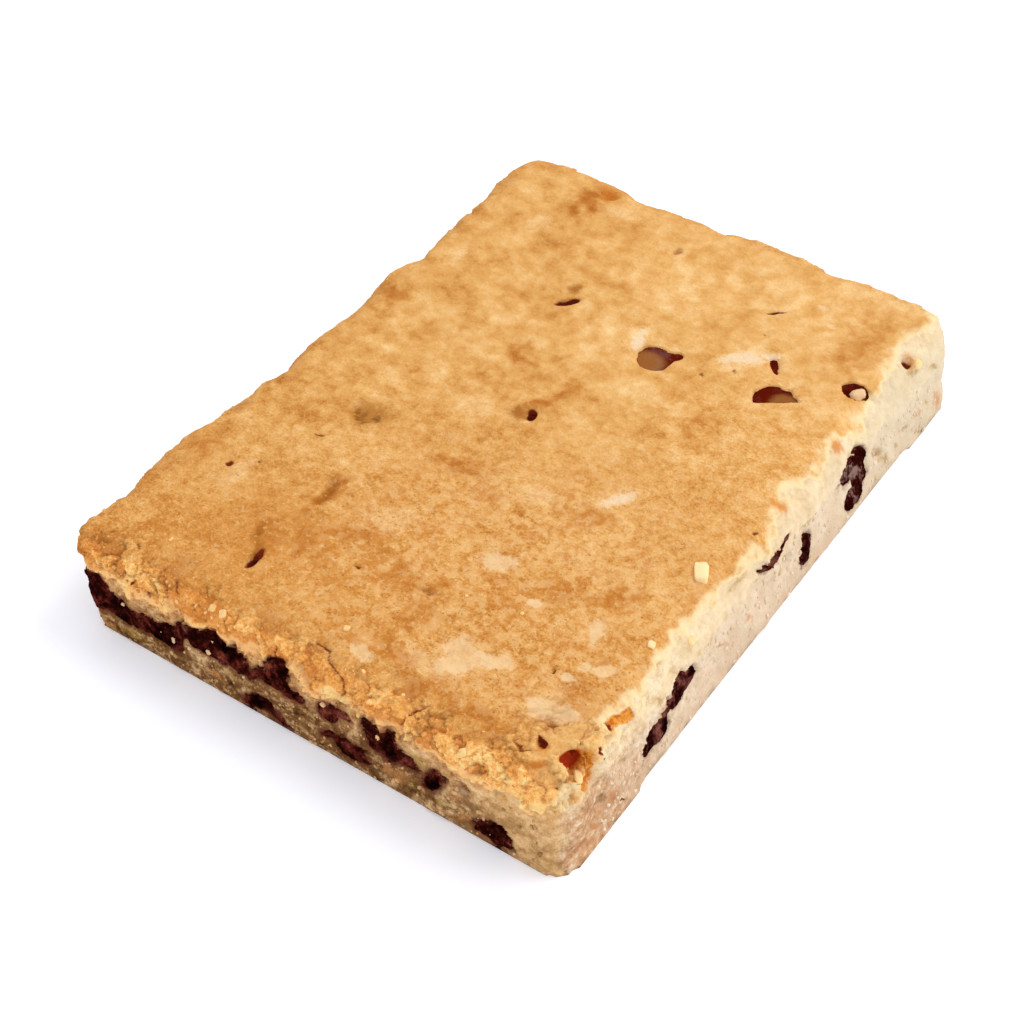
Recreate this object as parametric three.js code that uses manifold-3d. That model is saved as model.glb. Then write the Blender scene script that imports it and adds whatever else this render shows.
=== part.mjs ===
// A chocolate chip blondie: one slab of crumb with a browned crust, cut on all four sides, and the
// chocolate chips that the cuts and the crust lay bare, each seated in its own pocket.
// Millimetres, +Z up. The long side runs along Y, and the origin is the middle of the underside.
import * as THREE from "three";
import { mergeVertices } from "three/addons/utils/BufferGeometryUtils.js";
import { ImprovedNoise } from "three/addons/math/ImprovedNoise.js";
import Module from "manifold-3d";

const wasm = await Module();
wasm.setup();

// Driving dimensions
const WIDTH = 70.8; // left cut to right cut
const LENGTH = 102.2; // front cut to back cut
const THICKNESS = 12.5; // table to crust
const LEAN_X = -3.2; // how far the slanting knife shifts the crust over the underside
const LEAN_Y = 1.9;
const FACET = 2; // spacing of the slab's grid
const FLAT_WITHIN = 0.12; // facets of the slab this close to one plane are merged
const CHIP_FLAT_WITHIN = 0.2; // and those of a chip
const CHIP_GAP = 0.3; // clearance between a chip and its pocket

// Edges: how far the crust rolls over, and the plan radius of each corner
const RIM_ROUND = 2.7;
const RIM_UNEVEN = 0.45; // share by which the roll varies along the edge
const CORNERS = { frontLeft: 2.2, frontRight: 3.6, backRight: 5, backLeft: 2.6 };

// Relief: soft swells of the crust, and crags on the cut faces
const SWELL = { size: 13, rise: 0.5 };
const CRAG = { size: 4.4, rise: 0.9 };
const DOME = 0.3; // the middle of the crust stands this much higher than its edges

// The four cuts. The whole cut bows out or in, and a bulge swells or notches the crust's outline
// around one place along the side. It fades towards the table, the steeper its rise the sooner.
const SIDES = {
  front: {
    out: [0, -1],
    bow: 0,
    bulges: [
      { at: -33, reach: 5, push: 0.7 },
      { at: -20, reach: 7, push: 0.4 },
      { at: 6, reach: 4, push: -0.5 },
      { at: 22, reach: 6, push: 0.2 },
    ],
  },
  right: {
    out: [1, 0],
    bow: -0.2,
    bulges: [
      { at: -44, reach: 7, push: 0.8 },
      { at: -16, reach: 6, push: -0.6 },
      { at: 4, reach: 5, push: 0.4 },
      { at: 26, reach: 8, push: -0.9 },
      { at: 44, reach: 6, push: 1.3 },
    ],
  },
  back: {
    out: [0, 1],
    bow: 0.2,
    bulges: [
      { at: -32, reach: 3.2, push: 1.0 },
      { at: -22, reach: 2.8, push: 1.0 },
      { at: -14, reach: 2.6, push: -0.9 },
      { at: -1, reach: 2.8, push: -1.1 },
      { at: 7, reach: 4.5, push: 0.7 },
      { at: 17, reach: 2.4, push: -0.8 },
      { at: 29, reach: 4, push: 0.3 },
    ],
  },
  left: {
    out: [-1, 0],
    bow: 0.4,
    bulges: [
      { at: -46, reach: 6, push: 1.7, rise: 5 },
      { at: -33, reach: 9, push: 2 },
      { at: -12, reach: 3.2, push: -1.0 },
      { at: -4, reach: 4, push: 0.3 },
      { at: 3.5, reach: 3.5, push: -0.8 },
      { at: 12.5, reach: 3, push: 0.9 },
      { at: 19, reach: 2.1, push: -1.7 },
      { at: 30, reach: 5, push: 0.4 },
      { at: 43, reach: 7, push: 1.7 },
    ],
  },
};
const BULGE_DEPTH = 11; // how far in from the edge the crust follows a bulge
const BULGE_AT_TABLE = 0.15; // share of a bulge that reaches the underside
const BULGE_RISE = 1.5;

// Chips that a cut lays bare: place along the face, height, length, height of the section and tilt.
// Chips in one inner list have run together into one piece.
const SIDE_CHIPS = {
  front: [
    [
      { along: -33, height: 6.1, long: 5.4, tall: 4.2, tilt: -34 },
      { along: -30, height: 4.6, long: 6.4, tall: 3.2, tilt: -14 },
      { along: -25.6, height: 4.5, long: 6.6, tall: 2.3, tilt: 6 },
      { along: -21.6, height: 4.7, long: 6, tall: 2.9, tilt: 4 },
      { along: -18.8, height: 6.9, long: 4.4, tall: 2, tilt: 26 },
      { along: -15, height: 6.9, long: 6.8, tall: 3.5, tilt: -4 },
      { along: -10.4, height: 6.5, long: 5.6, tall: 2.4, tilt: -3 },
      { along: -5.6, height: 6.6, long: 6.4, tall: 1.5, tilt: 4 },
      { along: -4.7, height: 8.5, long: 3, tall: 3.4, tilt: -16 },
      { along: -2, height: 5.9, long: 3, tall: 1.1, tilt: -8 },
    ],
    [
      { along: -7.2, height: 1.7, long: 5.2, tall: 2, tilt: 6 },
      { along: -4.2, height: 1.2, long: 3.8, tall: 1, tilt: -8 },
    ],
    [
      { along: 2.9, height: 5.8, long: 3.2, tall: 2.3, tilt: 0 },
      { along: 5, height: 6.6, long: 3.2, tall: 0.9, tilt: 0 },
    ],
    [
      { along: 7.2, height: 2.8, long: 5.4, tall: 2, tilt: -2 },
      { along: 3.8, height: 3, long: 3.2, tall: 0.8, tilt: 6 },
    ],
    [
      { along: 11.5, height: 6.2, long: 4.8, tall: 3.2, tilt: -4 },
      { along: 14.4, height: 5.5, long: 4, tall: 1.4, tilt: -14 },
      { along: 9.3, height: 7.3, long: 1.5, tall: 2.8, tilt: 14 },
    ],
    [{ along: 18.4, height: 4.7, long: 1.9, tall: 4.6, tilt: 142 }],
    [{ along: 27.3, height: 2.4, long: 5, tall: 3.2, tilt: -4, taper: 1.1, blunt: 0.35 }],
  ],
  right: [
    [
      { along: -30.8, height: 4.1, long: 5.6, tall: 3, tilt: 6 },
      { along: -28.9, height: 5.1, long: 1.8, tall: 1.9, tilt: 10 },
      { along: -27.4, height: 5.7, long: 3.4, tall: 1.1, tilt: 12 },
      { along: -24, height: 6.1, long: 6.4, tall: 3, tilt: 6 },
    ],
    [
      { along: -2.9, height: 7.9, long: 3.4, tall: 0.6, tilt: -20 },
      { along: -0.3, height: 7.6, long: 3.2, tall: 0.6, tilt: 6 },
      { along: 2.1, height: 8.1, long: 2.6, tall: 0.6, tilt: 22 },
    ],
    [{ along: 6.3, height: 4, long: 3.2, tall: 4, tilt: -32, taper: 0.15, blunt: 0.3 }],
    [
      { along: 20.9, height: 7, long: 8, tall: 2.7, tilt: 2, taper: 0.2 },
      { along: 19.8, height: 3.1, long: 5.6, tall: 2.6, tilt: 2 },
      { along: 21.9, height: 5, long: 4.8, tall: 3, tilt: -4, taper: 0.2 },
    ],
  ],
  back: [
    [{ along: 27, height: 6.2, long: 6.8, tall: 3.2, tilt: 7 }],
    [{ along: 16.5, height: 3, long: 6.2, tall: 2.6, tilt: -5 }],
    [
      { along: 8, height: 7.4, long: 7, tall: 2.8, tilt: 3 },
      { along: 2.6, height: 6.6, long: 6, tall: 2.4, tilt: -6 },
    ],
    [{ along: -6, height: 4.2, long: 4.2, tall: 3.8, tilt: 18 }],
    [{ along: -15, height: 7.2, long: 6.8, tall: 2.8, tilt: -8 }],
    [{ along: -25.5, height: 3.6, long: 6.4, tall: 3.2, tilt: 5 }],
  ],
  left: [
    [{ along: -34, height: 6.6, long: 6.4, tall: 3, tilt: -6 }],
    [{ along: -25, height: 3.2, long: 7, tall: 2.8, tilt: 4 }],
    [{ along: -14, height: 7.2, long: 7.6, tall: 3.2, tilt: 8 }],
    [{ along: -2, height: 4.2, long: 4.8, tall: 3.6, tilt: -14 }],
    [{ along: 9, height: 7, long: 7, tall: 2.6, tilt: 3 }],
    [{ along: 23.5, height: 3.8, long: 7.4, tall: 3, tilt: -4 }],
    [{ along: 34, height: 6.6, long: 6, tall: 3.8, tilt: 9 }],
  ],
};
const SIDE_CHIP_DEEP = 3.4; // how far a chip reaches in behind the cut

// Chips that break through the crust: place, width across the peak, length along it and turn of the
// bare patch. A half chip is a dome on a flat base.
const TOP_CHIPS = [
  [
    { at: [4.7, 19.4], long: 5.9, wide: 6, turn: 20, taper: 0, blunt: 0.95 },
    { at: [6.6, 21.1], long: 2.8, wide: 3.2, turn: -52 },
  ],
  [{ at: [21.6, 22.1], long: 6.8, wide: 4.1, turn: 34, half: true }],
  [{ at: [19.1, 27.1], long: 1.7, wide: 4, turn: -147 }],
  [{ at: [30.3, 28.9], long: 3.8, wide: 3.8, turn: -40, taper: 0.1 }],
];
const TOP_CHIP_DEEP = 2.6; // how far such a chip reaches down
const TOP_CHIP_SUNK = 0.45; // its bare patch lies this much below the crust
const TOP_CHIP_LUMPY = 0.03; // the crust left these almost whole

// Holes and dents in the crust: place, length, width, depth and turn
const PITS = [
  { at: [-11.8, 22.9], long: 3.8, wide: 1.7, deep: 1.3, turn: 46 },
  { at: [-2.6, 0], long: 2.6, wide: 1.7, deep: 1.4, turn: -68 },
  { at: [-15.7, -40.6], long: 4, wide: 1.3, deep: 1.5, turn: -84 },
  { at: [-15.3, -26.9], long: 6.6, wide: 1.8, deep: 0.7, turn: -86 },
  { at: [13.8, 36.9], long: 3.2, wide: 1, deep: 0.9, turn: 34 },
  { at: [-20, -12.3], long: 4.4, wide: 2.8, deep: 0.5, turn: 20 },
  { at: [-20.7, 48.4], long: 3.6, wide: 3.2, deep: 1.5, turn: 0 },
  { at: [33.7, -44.9], long: 4.4, wide: 3.4, deep: 2.4, turn: -30 },
  { at: [28.9, -44.9], long: 2.4, wide: 1.4, deep: 1.4, turn: -18 },
  { at: [33.6, -36.8], long: 4.6, wide: 1.6, deep: 1.4, turn: -70 },
  { at: [33.2, 39], long: 3.4, wide: 2.2, deep: 1.6, turn: 64 },
  { at: [32.8, 18.4], long: 2.8, wide: 1.6, deep: 1, turn: -60 },
  { at: [32.4, 4.6], long: 3, wide: 2.2, deep: 0.9, turn: 0 },
];

// Pores and chinks in the cut faces: place along the face, height, length, height, depth and tilt
const SIDE_PITS = {
  front: [
    { along: -23, height: 2.2, long: 2.6, tall: 1.4, deep: 0.9, tilt: 20 },
    { along: 22.6, height: 6.4, long: 3.2, tall: 1.6, deep: 1, tilt: -25 },
    { along: 31, height: 6.8, long: 2.4, tall: 1.6, deep: 0.8, tilt: 40 },
  ],
  right: [
    { along: 27.5, height: 4.4, long: 4, tall: 1.6, deep: 1.2, tilt: -42 },
    { along: 43, height: 8.6, long: 2.4, tall: 1.8, deep: 1, tilt: 10 },
    { along: -11, height: 9.6, long: 3.6, tall: 1.5, deep: 1, tilt: -12 },
    { along: -43, height: 5, long: 3, tall: 2, deep: 0.9, tilt: 30 },
    { along: 35, height: 3.6, long: 2.2, tall: 1.4, deep: 0.8, tilt: 0 },
  ],
  back: [
    { along: -32, height: 7.6, long: 2.8, tall: 1.8, deep: 1, tilt: -20 },
    { along: 11, height: 3.4, long: 2.6, tall: 1.6, deep: 0.9, tilt: 35 },
  ],
  left: [
    { along: -43, height: 3.4, long: 2.6, tall: 1.6, deep: 1, tilt: 15 },
    { along: 3, height: 8, long: 2.8, tall: 1.4, deep: 0.9, tilt: -30 },
    { along: 15, height: 4.4, long: 3, tall: 1.8, deep: 1, tilt: 25 },
    { along: 44, height: 4, long: 2.6, tall: 1.6, deep: 0.9, tilt: -10 },
  ],
};

// Cracks in the front of the crust, each a chain of short splits from point to point
const CRACKS = [
  [[0.4, -47.2], [2.6, -48.4], [4.6, -49.8]],
  [[15, -47.9], [13.8, -49.5], [14.5, -51]],
  [[-5.2, -49.6], [-3.8, -51.2]],
];
const CRACK_WIDE = 0.8;
const CRACK_DEEP = 2;

const COLOURS = { crumb: "#d8a25c", chocolate: "#3b1d15" };

const perlin = new ImprovedNoise();
const { smoothstep, clamp, degToRad } = THREE.MathUtils;
const halfX = WIDTH / 2;
const halfY = LENGTH / 2;

// Smooth noise from -1 to 1, with lumps of the given size
function lumps(x, y, z, size) {
  return perlin.noise(x / size + 31.7, y / size + 12.3, z / size + 5.9);
}

// How far the crust stands above its nominal height
function swell(x, y) {
  const middle = 1 - Math.max((x / halfX) ** 2, (y / halfY) ** 2);
  const soft = SWELL.rise * lumps(x, y, 0, SWELL.size);
  return DOME * clamp(middle, 0, 1) + soft;
}

// Shift of a level slice of the slab, from the slant of the knife
function lean(z) {
  const share = z / THICKNESS - 0.5;
  return [LEAN_X * share, LEAN_Y * share];
}

// Outward push of a side's outline at a place along it and a height
function sidePush(side, along, z) {
  const bow = side.bow * (1 - (along / (side.out[0] ? halfY : halfX)) ** 2);
  const up = clamp(z / THICKNESS, 0, 1);
  let push = 0;
  for (const b of side.bulges) {
    const share = BULGE_AT_TABLE + (1 - BULGE_AT_TABLE) * up ** (b.rise ?? BULGE_RISE);
    push += share * b.push * Math.exp(-(((along - b.at) / b.reach) ** 2));
  }
  return bow + push;
}

function cornerRadius(x, y) {
  if (y < 0) return x < 0 ? CORNERS.frontLeft : CORNERS.frontRight;
  return x < 0 ? CORNERS.backLeft : CORNERS.backRight;
}

// Bends the square corner of the plan into a quarter circle
function roundCorner(p) {
  const r = cornerRadius(p.x, p.y);
  const dx = Math.max(Math.abs(p.x) - (halfX - r), 0) / r;
  const dy = Math.max(Math.abs(p.y) - (halfY - r), 0) / r;
  if (dx === 0 || dy === 0) return;
  p.x = Math.sign(p.x) * (halfX - r + r * dx * Math.sqrt(1 - (dy * dy) / 2));
  p.y = Math.sign(p.y) * (halfY - r + r * dy * Math.sqrt(1 - (dx * dx) / 2));
}

// Distance in from the rounded plan outline, and the outward direction there
function edgeOf(p) {
  const r = cornerRadius(p.x, p.y);
  const dx = Math.abs(p.x) - (halfX - r);
  const dy = Math.abs(p.y) - (halfY - r);
  if (dx > 0 && dy > 0) {
    const d = Math.hypot(dx, dy);
    return { inside: r - d, nx: (Math.sign(p.x) * dx) / d, ny: (Math.sign(p.y) * dy) / d };
  }
  if (dx > dy) return { inside: r - dx, nx: Math.sign(p.x), ny: 0 };
  return { inside: r - dy, nx: 0, ny: Math.sign(p.y) };
}

// Rolls the square edge between a cut face and the crust into an uneven quarter round
function rollRim(p, edge) {
  const round = RIM_ROUND * (1 + RIM_UNEVEN * lumps(p.x, p.y, 40, 6));
  const below = THICKNESS - p.z;
  if (edge.inside >= round || below >= round) return;
  const quarter = Math.PI / 4;
  const onTop = below < edge.inside;
  const angle = onTop ? quarter * (1 + edge.inside / round) : quarter * (1 - below / round);
  const inside = round * (1 - Math.cos(angle));
  p.x += edge.nx * (edge.inside - inside);
  p.y += edge.ny * (edge.inside - inside);
  p.z = THICKNESS - round * (1 - Math.sin(angle));
}

// Follows the bulges of the nearby cuts, then the slant of the knife
function followCuts(p) {
  let { x, y } = p;
  for (const side of Object.values(SIDES)) {
    const [ox, oy] = side.out;
    const inside = (ox ? halfX : halfY) - (p.x * ox + p.y * oy);
    const share = 1 - smoothstep(inside, 0, BULGE_DEPTH);
    const push = share * sidePush(side, ox ? p.y : p.x, p.z);
    x += ox * push;
    y += oy * push;
  }
  const [lx, ly] = lean(p.z);
  p.set(x + lx, y + ly, p.z);
}

// The slab before anything is cut from it: a box whose grid is bent into the cake's form
function slabGeometry() {
  const count = (size) => Math.round(size / FACET);
  const box = new THREE.BoxGeometry(
    WIDTH, LENGTH, THICKNESS, count(WIDTH), count(LENGTH), count(THICKNESS),
  );
  box.translate(0, 0, THICKNESS / 2);
  const places = box.getAttribute("position");
  const p = new THREE.Vector3();
  for (let i = 0; i < places.count; i++) {
    p.fromBufferAttribute(places, i);
    const onTable = p.z < 1e-6;
    roundCorner(p);
    const edge = edgeOf(p);
    if (!onTable) rollRim(p, edge);
    const crust = smoothstep(p.z, THICKNESS - 2 * RIM_ROUND, THICKNESS);
    const wall = edge.inside < RIM_ROUND ? 1 - smoothstep(p.z, THICKNESS - RIM_ROUND, THICKNESS) : 0;
    const crag = CRAG.rise * wall * smoothstep(p.z, 0, 2) * lumps(p.x, p.y, p.z, CRAG.size);
    p.x += edge.nx * crag;
    p.y += edge.ny * crag;
    if (!onTable) p.z += crust * swell(p.x, p.y);
    followCuts(p);
    places.setXYZ(i, p.x, p.y, p.z);
  }
  return box;
}

// Height of the crust above the table at a place on top
function crustHeight(x, y) {
  const [lx, ly] = lean(THICKNESS);
  return THICKNESS + swell(x - lx, y - ly);
}

// A three.js geometry as a solid that can be joined and cut
function solidOf(geometry) {
  const bare = geometry.clone();
  bare.deleteAttribute("normal");
  bare.deleteAttribute("uv");
  const merged = mergeVertices(bare, 1e-4);
  return new wasm.Manifold(
    new wasm.Mesh({
      numProp: 3,
      vertProperties: new Float32Array(merged.getAttribute("position").array),
      triVerts: new Uint32Array(merged.index.array),
    }),
  );
}

// The largest body of a solid, without any scrap that a cut left loose
function largestBody(solid) {
  return solid.decompose().reduce((a, b) => (a.volume() >= b.volume() ? a : b));
}

function meshOf(name, solid, material) {
  const { vertProperties, triVerts } = solid.getMesh();
  const geometry = new THREE.BufferGeometry();
  geometry.setAttribute("position", new THREE.BufferAttribute(vertProperties, 3));
  geometry.setIndex(new THREE.BufferAttribute(triVerts, 1));
  geometry.computeVertexNormals();
  const mesh = new THREE.Mesh(geometry, material);
  mesh.name = name;
  return mesh;
}

// A chip about its middle: a drop with a blunt base, its peak along +Y, one unit across and high.
// It is lumpy where it melted, each drop in its own way. A half chip is a dome instead.
const CHIP_ROUND = 7;
const CHIP_STEPS = 5;
const CHIP_TAPER = 0.7;
const CHIP_BLUNT = 0.6;
const CHIP_LUMPY = 0.16;
function dropProfile(taper, blunt) {
  const profile = [];
  for (let i = 0; i <= CHIP_STEPS; i++) {
    const turn = (Math.PI * i) / CHIP_STEPS;
    const up = -0.5 * Math.cos(turn);
    const ends = i === 0 || i === CHIP_STEPS;
    const radius = ends ? 0 : 0.48 * Math.sin(turn) ** blunt * (1 - taper * up);
    profile.push(new THREE.Vector2(radius, up));
  }
  return profile;
}

function domeProfile() {
  const profile = [new THREE.Vector2(0, -0.5)];
  for (let i = 0; i < CHIP_STEPS; i++) {
    const turn = (Math.PI * i) / (2 * CHIP_STEPS);
    profile.push(new THREE.Vector2(0.5 * Math.cos(turn), Math.sin(turn) - 0.5));
  }
  profile.push(new THREE.Vector2(0, 0.5));
  return profile;
}

function dropGeometry(seed, { half, taper = CHIP_TAPER, blunt = CHIP_BLUNT, lumpy = CHIP_LUMPY }) {
  const profile = half ? domeProfile() : dropProfile(taper, blunt);
  const drop = new THREE.LatheGeometry(profile, CHIP_ROUND);
  const places = drop.getAttribute("position");
  const p = new THREE.Vector3();
  for (let i = 0; i < places.count; i++) {
    p.fromBufferAttribute(places, i);
    p.multiplyScalar(1 + 2 * lumpy * lumps(p.x + seed, p.y, p.z, 0.55));
    places.setXYZ(i, p.x, p.y, p.z);
  }
  return drop;
}

// A drop of the given length, height and depth, grown by a margin all round, at a place on a face.
// The face's own right and out directions are given, and the drop is tilted within the face.
function placedDrop(chip, place, right, out, margin = 0) {
  const { long, tall, deep, tilt } = chip;
  const up = new THREE.Vector3().crossVectors(out, right);
  const turned = right.clone().applyAxisAngle(out, degToRad(tilt));
  const peak = up.clone().applyAxisAngle(out, degToRad(tilt));
  const grow = (size) => size + 2 * margin;
  const matrix = new THREE.Matrix4().makeBasis(
    turned.multiplyScalar(grow(long)),
    peak.multiplyScalar(grow(tall)),
    out.clone().multiplyScalar(grow(2 * deep)),
  );
  matrix.setPosition(place);
  const seed = long * tall + tilt;
  return solidOf(dropGeometry(seed, chip).applyMatrix4(matrix));
}

// A point of a cut face, at a place along the face and a height
function facePoint(side, along, z) {
  const [ox, oy] = side.out;
  const [lx, ly] = lean(z);
  const reach = (ox ? halfX : halfY) + sidePush(side, along, z);
  return ox
    ? new THREE.Vector3(ox * reach + lx, along, z)
    : new THREE.Vector3(along, oy * reach + ly, z);
}

function sideDrop(side, chip, margin = 0) {
  const out = new THREE.Vector3(...side.out, 0);
  const right = new THREE.Vector3(-side.out[1], side.out[0], 0);
  const size = { ...chip, deep: SIDE_CHIP_DEEP };
  return placedDrop(size, facePoint(side, chip.along, chip.height), right, out, margin);
}

function topDrop(chip, margin = 0) {
  const [x, y] = chip.at;
  const place = new THREE.Vector3(x, y, crustHeight(x, y) - TOP_CHIP_SUNK);
  const size = { ...chip, tall: chip.wide, deep: TOP_CHIP_DEEP, tilt: chip.turn, lumpy: TOP_CHIP_LUMPY };
  return placedDrop(size, place, new THREE.Vector3(1, 0, 0), new THREE.Vector3(0, 0, 1), margin);
}

// An egg of three half sizes, turned in its own plane, laid against a face and half sunk into it
function eggSolid(half, turn, place, facing) {
  const egg = new THREE.SphereGeometry(1, 8, 5).rotateX(Math.PI / 2);
  egg.scale(...half).rotateZ(degToRad(turn));
  egg.applyMatrix4(facing);
  egg.translate(place.x, place.y, place.z);
  return solidOf(egg);
}

function pitSolid({ at, long, wide, deep, turn }) {
  const place = new THREE.Vector3(...at, crustHeight(...at));
  return eggSolid([long / 2, wide / 2, deep], turn, place, new THREE.Matrix4());
}

function sidePitSolid(side, { along, height, long, tall, deep, tilt }) {
  const out = new THREE.Vector3(...side.out, 0);
  const right = new THREE.Vector3(-side.out[1], side.out[0], 0);
  const facing = new THREE.Matrix4().makeBasis(right, new THREE.Vector3(0, 0, 1), out);
  return eggSolid([long / 2, tall / 2, deep], tilt, facePoint(side, along, height), facing);
}

function crackSolid(points) {
  let crack = null;
  for (let i = 1; i < points.length; i++) {
    const [[x0, y0], [x1, y1]] = [points[i - 1], points[i]];
    const split = pitSolid({
      at: [(x0 + x1) / 2, (y0 + y1) / 2],
      long: Math.hypot(x1 - x0, y1 - y0) + CRACK_WIDE,
      wide: CRACK_WIDE,
      deep: CRACK_DEEP,
      turn: THREE.MathUtils.radToDeg(Math.atan2(y1 - y0, x1 - x0)),
    });
    crack = crack ? crack.add(split) : split;
  }
  return crack;
}

const joined = (solids) => solids.reduce((a, b) => a.add(b));

// Every chip, as the drop before the knife and the pocket that it leaves in the crumb
const chips = [];
for (const [face, list] of Object.entries(SIDE_CHIPS)) {
  list.forEach((drops, i) => {
    const cluster = (margin) => joined(drops.map((d) => sideDrop(SIDES[face], d, margin)));
    chips.push({ name: `chip_${face}_${i + 1}`, drop: cluster(0), pocket: cluster(CHIP_GAP) });
  });
}

const slab = solidOf(slabGeometry()).simplify(FLAT_WITHIN);
const sunkSlab = slab.translate([0, 0, -TOP_CHIP_SUNK]);
TOP_CHIPS.forEach((drops, i) => {
  const cluster = (margin) => joined(drops.map((d) => topDrop(d, margin)));
  const drop = cluster(0).intersect(sunkSlab);
  chips.push({ name: `chip_top_${i + 1}`, drop, pocket: cluster(CHIP_GAP) });
});

const hollows = [...PITS.map(pitSolid), ...CRACKS.map(crackSolid)];
for (const [face, list] of Object.entries(SIDE_PITS)) {
  for (const pit of list) hollows.push(sidePitSolid(SIDES[face], pit));
}
const crumb = largestBody(
  slab.subtract(joined(chips.map((c) => c.pocket))).subtract(joined(hollows)).simplify(FLAT_WITHIN),
);

const crumbMaterial = new THREE.MeshStandardMaterial({
  color: COLOURS.crumb, roughness: 0.85, metalness: 0,
});
const chocolateMaterial = new THREE.MeshStandardMaterial({
  color: COLOURS.chocolate, roughness: 0.5, metalness: 0,
});

const blondie = new THREE.Group();
blondie.add(meshOf("crumb", crumb, crumbMaterial));
for (const { name, drop } of chips) {
  blondie.add(meshOf(name, largestBody(drop.intersect(slab).simplify(CHIP_FLAT_WITHIN)), chocolateMaterial));
}

// The origin is the middle of the underside's bounding box
const box = new THREE.Box3().setFromObject(blondie);
const middle = box.getCenter(new THREE.Vector3());
blondie.children.forEach((mesh) => mesh.position.set(-middle.x, -middle.y, 0));

export default blondie;
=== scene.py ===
import math
import random

import bpy
import numpy as np
from mathutils import Matrix, Vector, noise
from mathutils.bvhtree import BVHTree


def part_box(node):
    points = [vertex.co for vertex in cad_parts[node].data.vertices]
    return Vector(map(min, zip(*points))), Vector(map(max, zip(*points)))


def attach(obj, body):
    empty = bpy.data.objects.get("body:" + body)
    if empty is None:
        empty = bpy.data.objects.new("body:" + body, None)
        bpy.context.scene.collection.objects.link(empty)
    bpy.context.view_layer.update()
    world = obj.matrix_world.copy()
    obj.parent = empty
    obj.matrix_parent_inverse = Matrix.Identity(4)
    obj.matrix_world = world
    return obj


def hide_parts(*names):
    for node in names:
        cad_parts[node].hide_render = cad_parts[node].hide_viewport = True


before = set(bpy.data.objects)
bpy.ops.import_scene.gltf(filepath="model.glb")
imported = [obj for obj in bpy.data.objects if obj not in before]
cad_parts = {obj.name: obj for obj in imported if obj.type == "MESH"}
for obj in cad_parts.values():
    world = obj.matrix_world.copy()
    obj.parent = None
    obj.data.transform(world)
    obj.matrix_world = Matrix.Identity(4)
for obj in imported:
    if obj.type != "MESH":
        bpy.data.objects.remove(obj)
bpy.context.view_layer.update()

# Every size and place below is in millimetres. Places are measured from the middle of the cut bar,
# which lies a little off the middle of its bounding box.
MM = 0.001
SHIFT_X = 0.584
SHIFT_Y = -0.204

# The way out of each face, and along which axes a chip that lies on it may grow
FACES = {
    "front": {"out": (0, -1, 0), "grow": (1, 0, 1)},
    "right": {"out": (1, 0, 0), "grow": (0, 1, 1)},
    "back": {"out": (0, 1, 0), "grow": (1, 0, 1)},
    "left": {"out": (-1, 0, 0), "grow": (0, 1, 1)},
    "top": {"out": (0, 0, 1), "grow": (1, 1, 0)},
}

# Fineness of the meshes, and how far a chip and the filler of its pocket grow
SAME_POINT = 0.001
CAKE_VOXEL = 0.5
CHIP_VOXEL = 0.22
CHIP_GROWS = 0.05
FILLER_GROWS = 0.45

# Depth of a chip's pocket, where under the surface a chip is looked for and how far from there,
# and how far the crust stands out from the crumb
POCKET_DEEP = 0.5
PROBE_DEEP = 0.9
CHIP_REACH = 2.5
CRUST_PROUD = 0.15

# Where the mesh is finer: along the front and at the right rim, both measured from the middle of the
# bounding box, and round holes in the crust
FINE_FROM_Z = 0.5
FINE_FROM_Y = -44.5
FINE_FROM_X = 32.5
FINE_WALL_FROM_Z = 7
FINE_WALL_TO_Y = -22
FINE_CRUST_FROM_Z = 9
FINE_ROUND_HOLES = 0.9

# Chips bared in the crust: place, and how far round it the mesh is finer
FINE_ROUND_CHIPS = [(5.2, 19.9, 4.8), (21.8, 22, 4.8), (19.1, 27.1, 3), (30.3, 28.9, 3.2)]

# Points below the first height are laid flat, and faces and edges below the second are the underside
UNDERSIDE_Z = 0.25
FLAT_Z = 0.0001

# How far grains on the cuts and along the rims stay from the chips
GRAINS_CLEAR_OF_CHIPS = 0.4
RIM_CLEAR_OF_CHIPS = 0.5

# A distance that is surely far off, and how far away a ray towards the cake starts
FAR_OFF = 99.0
RAY_ABOVE = 30
RAY_BESIDE = 80

# Height of the crust's lower edge on the cuts, and how far out the crust goes on the right
CRUST_EDGE = {"front": 8.4, "left": 8.8, "back": 8.8}
RIGHT_EDGE = 33.7

# How far the hidden cuts lie between the right one, paler partly as painted light, and the front one,
# browner and darker partly as painted shade
HIDDEN_SHADED_BROWNER = 0.4

# Paler places where the top skin peeled: place, half length, half width, turn
PEELED = [
    (13.5, -38.6, 2, 1.8, 0), (17.3, -38.3, 2.7, 1.4, 12), (14.4, -40.8, 2.4, 1.5, 50),
    (9.4, -24.6, 2.1, 1.2, 25), (25.2, -27.8, 0.9, 2, 8), (26.4, -40.8, 1.9, 1.5, 30),
    (29, -39.6, 1.6, 1.2, 10), (29.4, -32, 1.1, 0.8, 30), (26.3, -35.5, 0.9, 0.7, 0),
    (18.8, 42.2, 0.8, 0.6, 0), (21.3, 39.1, 0.8, 0.6, 0), (27.3, -32.6, 0.8, 0.9, 0),
    (4.4, -45.4, 1.8, 0.8, -10), (16.5, -28, 1, 0.5, 20), (-3, -1.7, 1.4, 0.25, 8),
]

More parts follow.
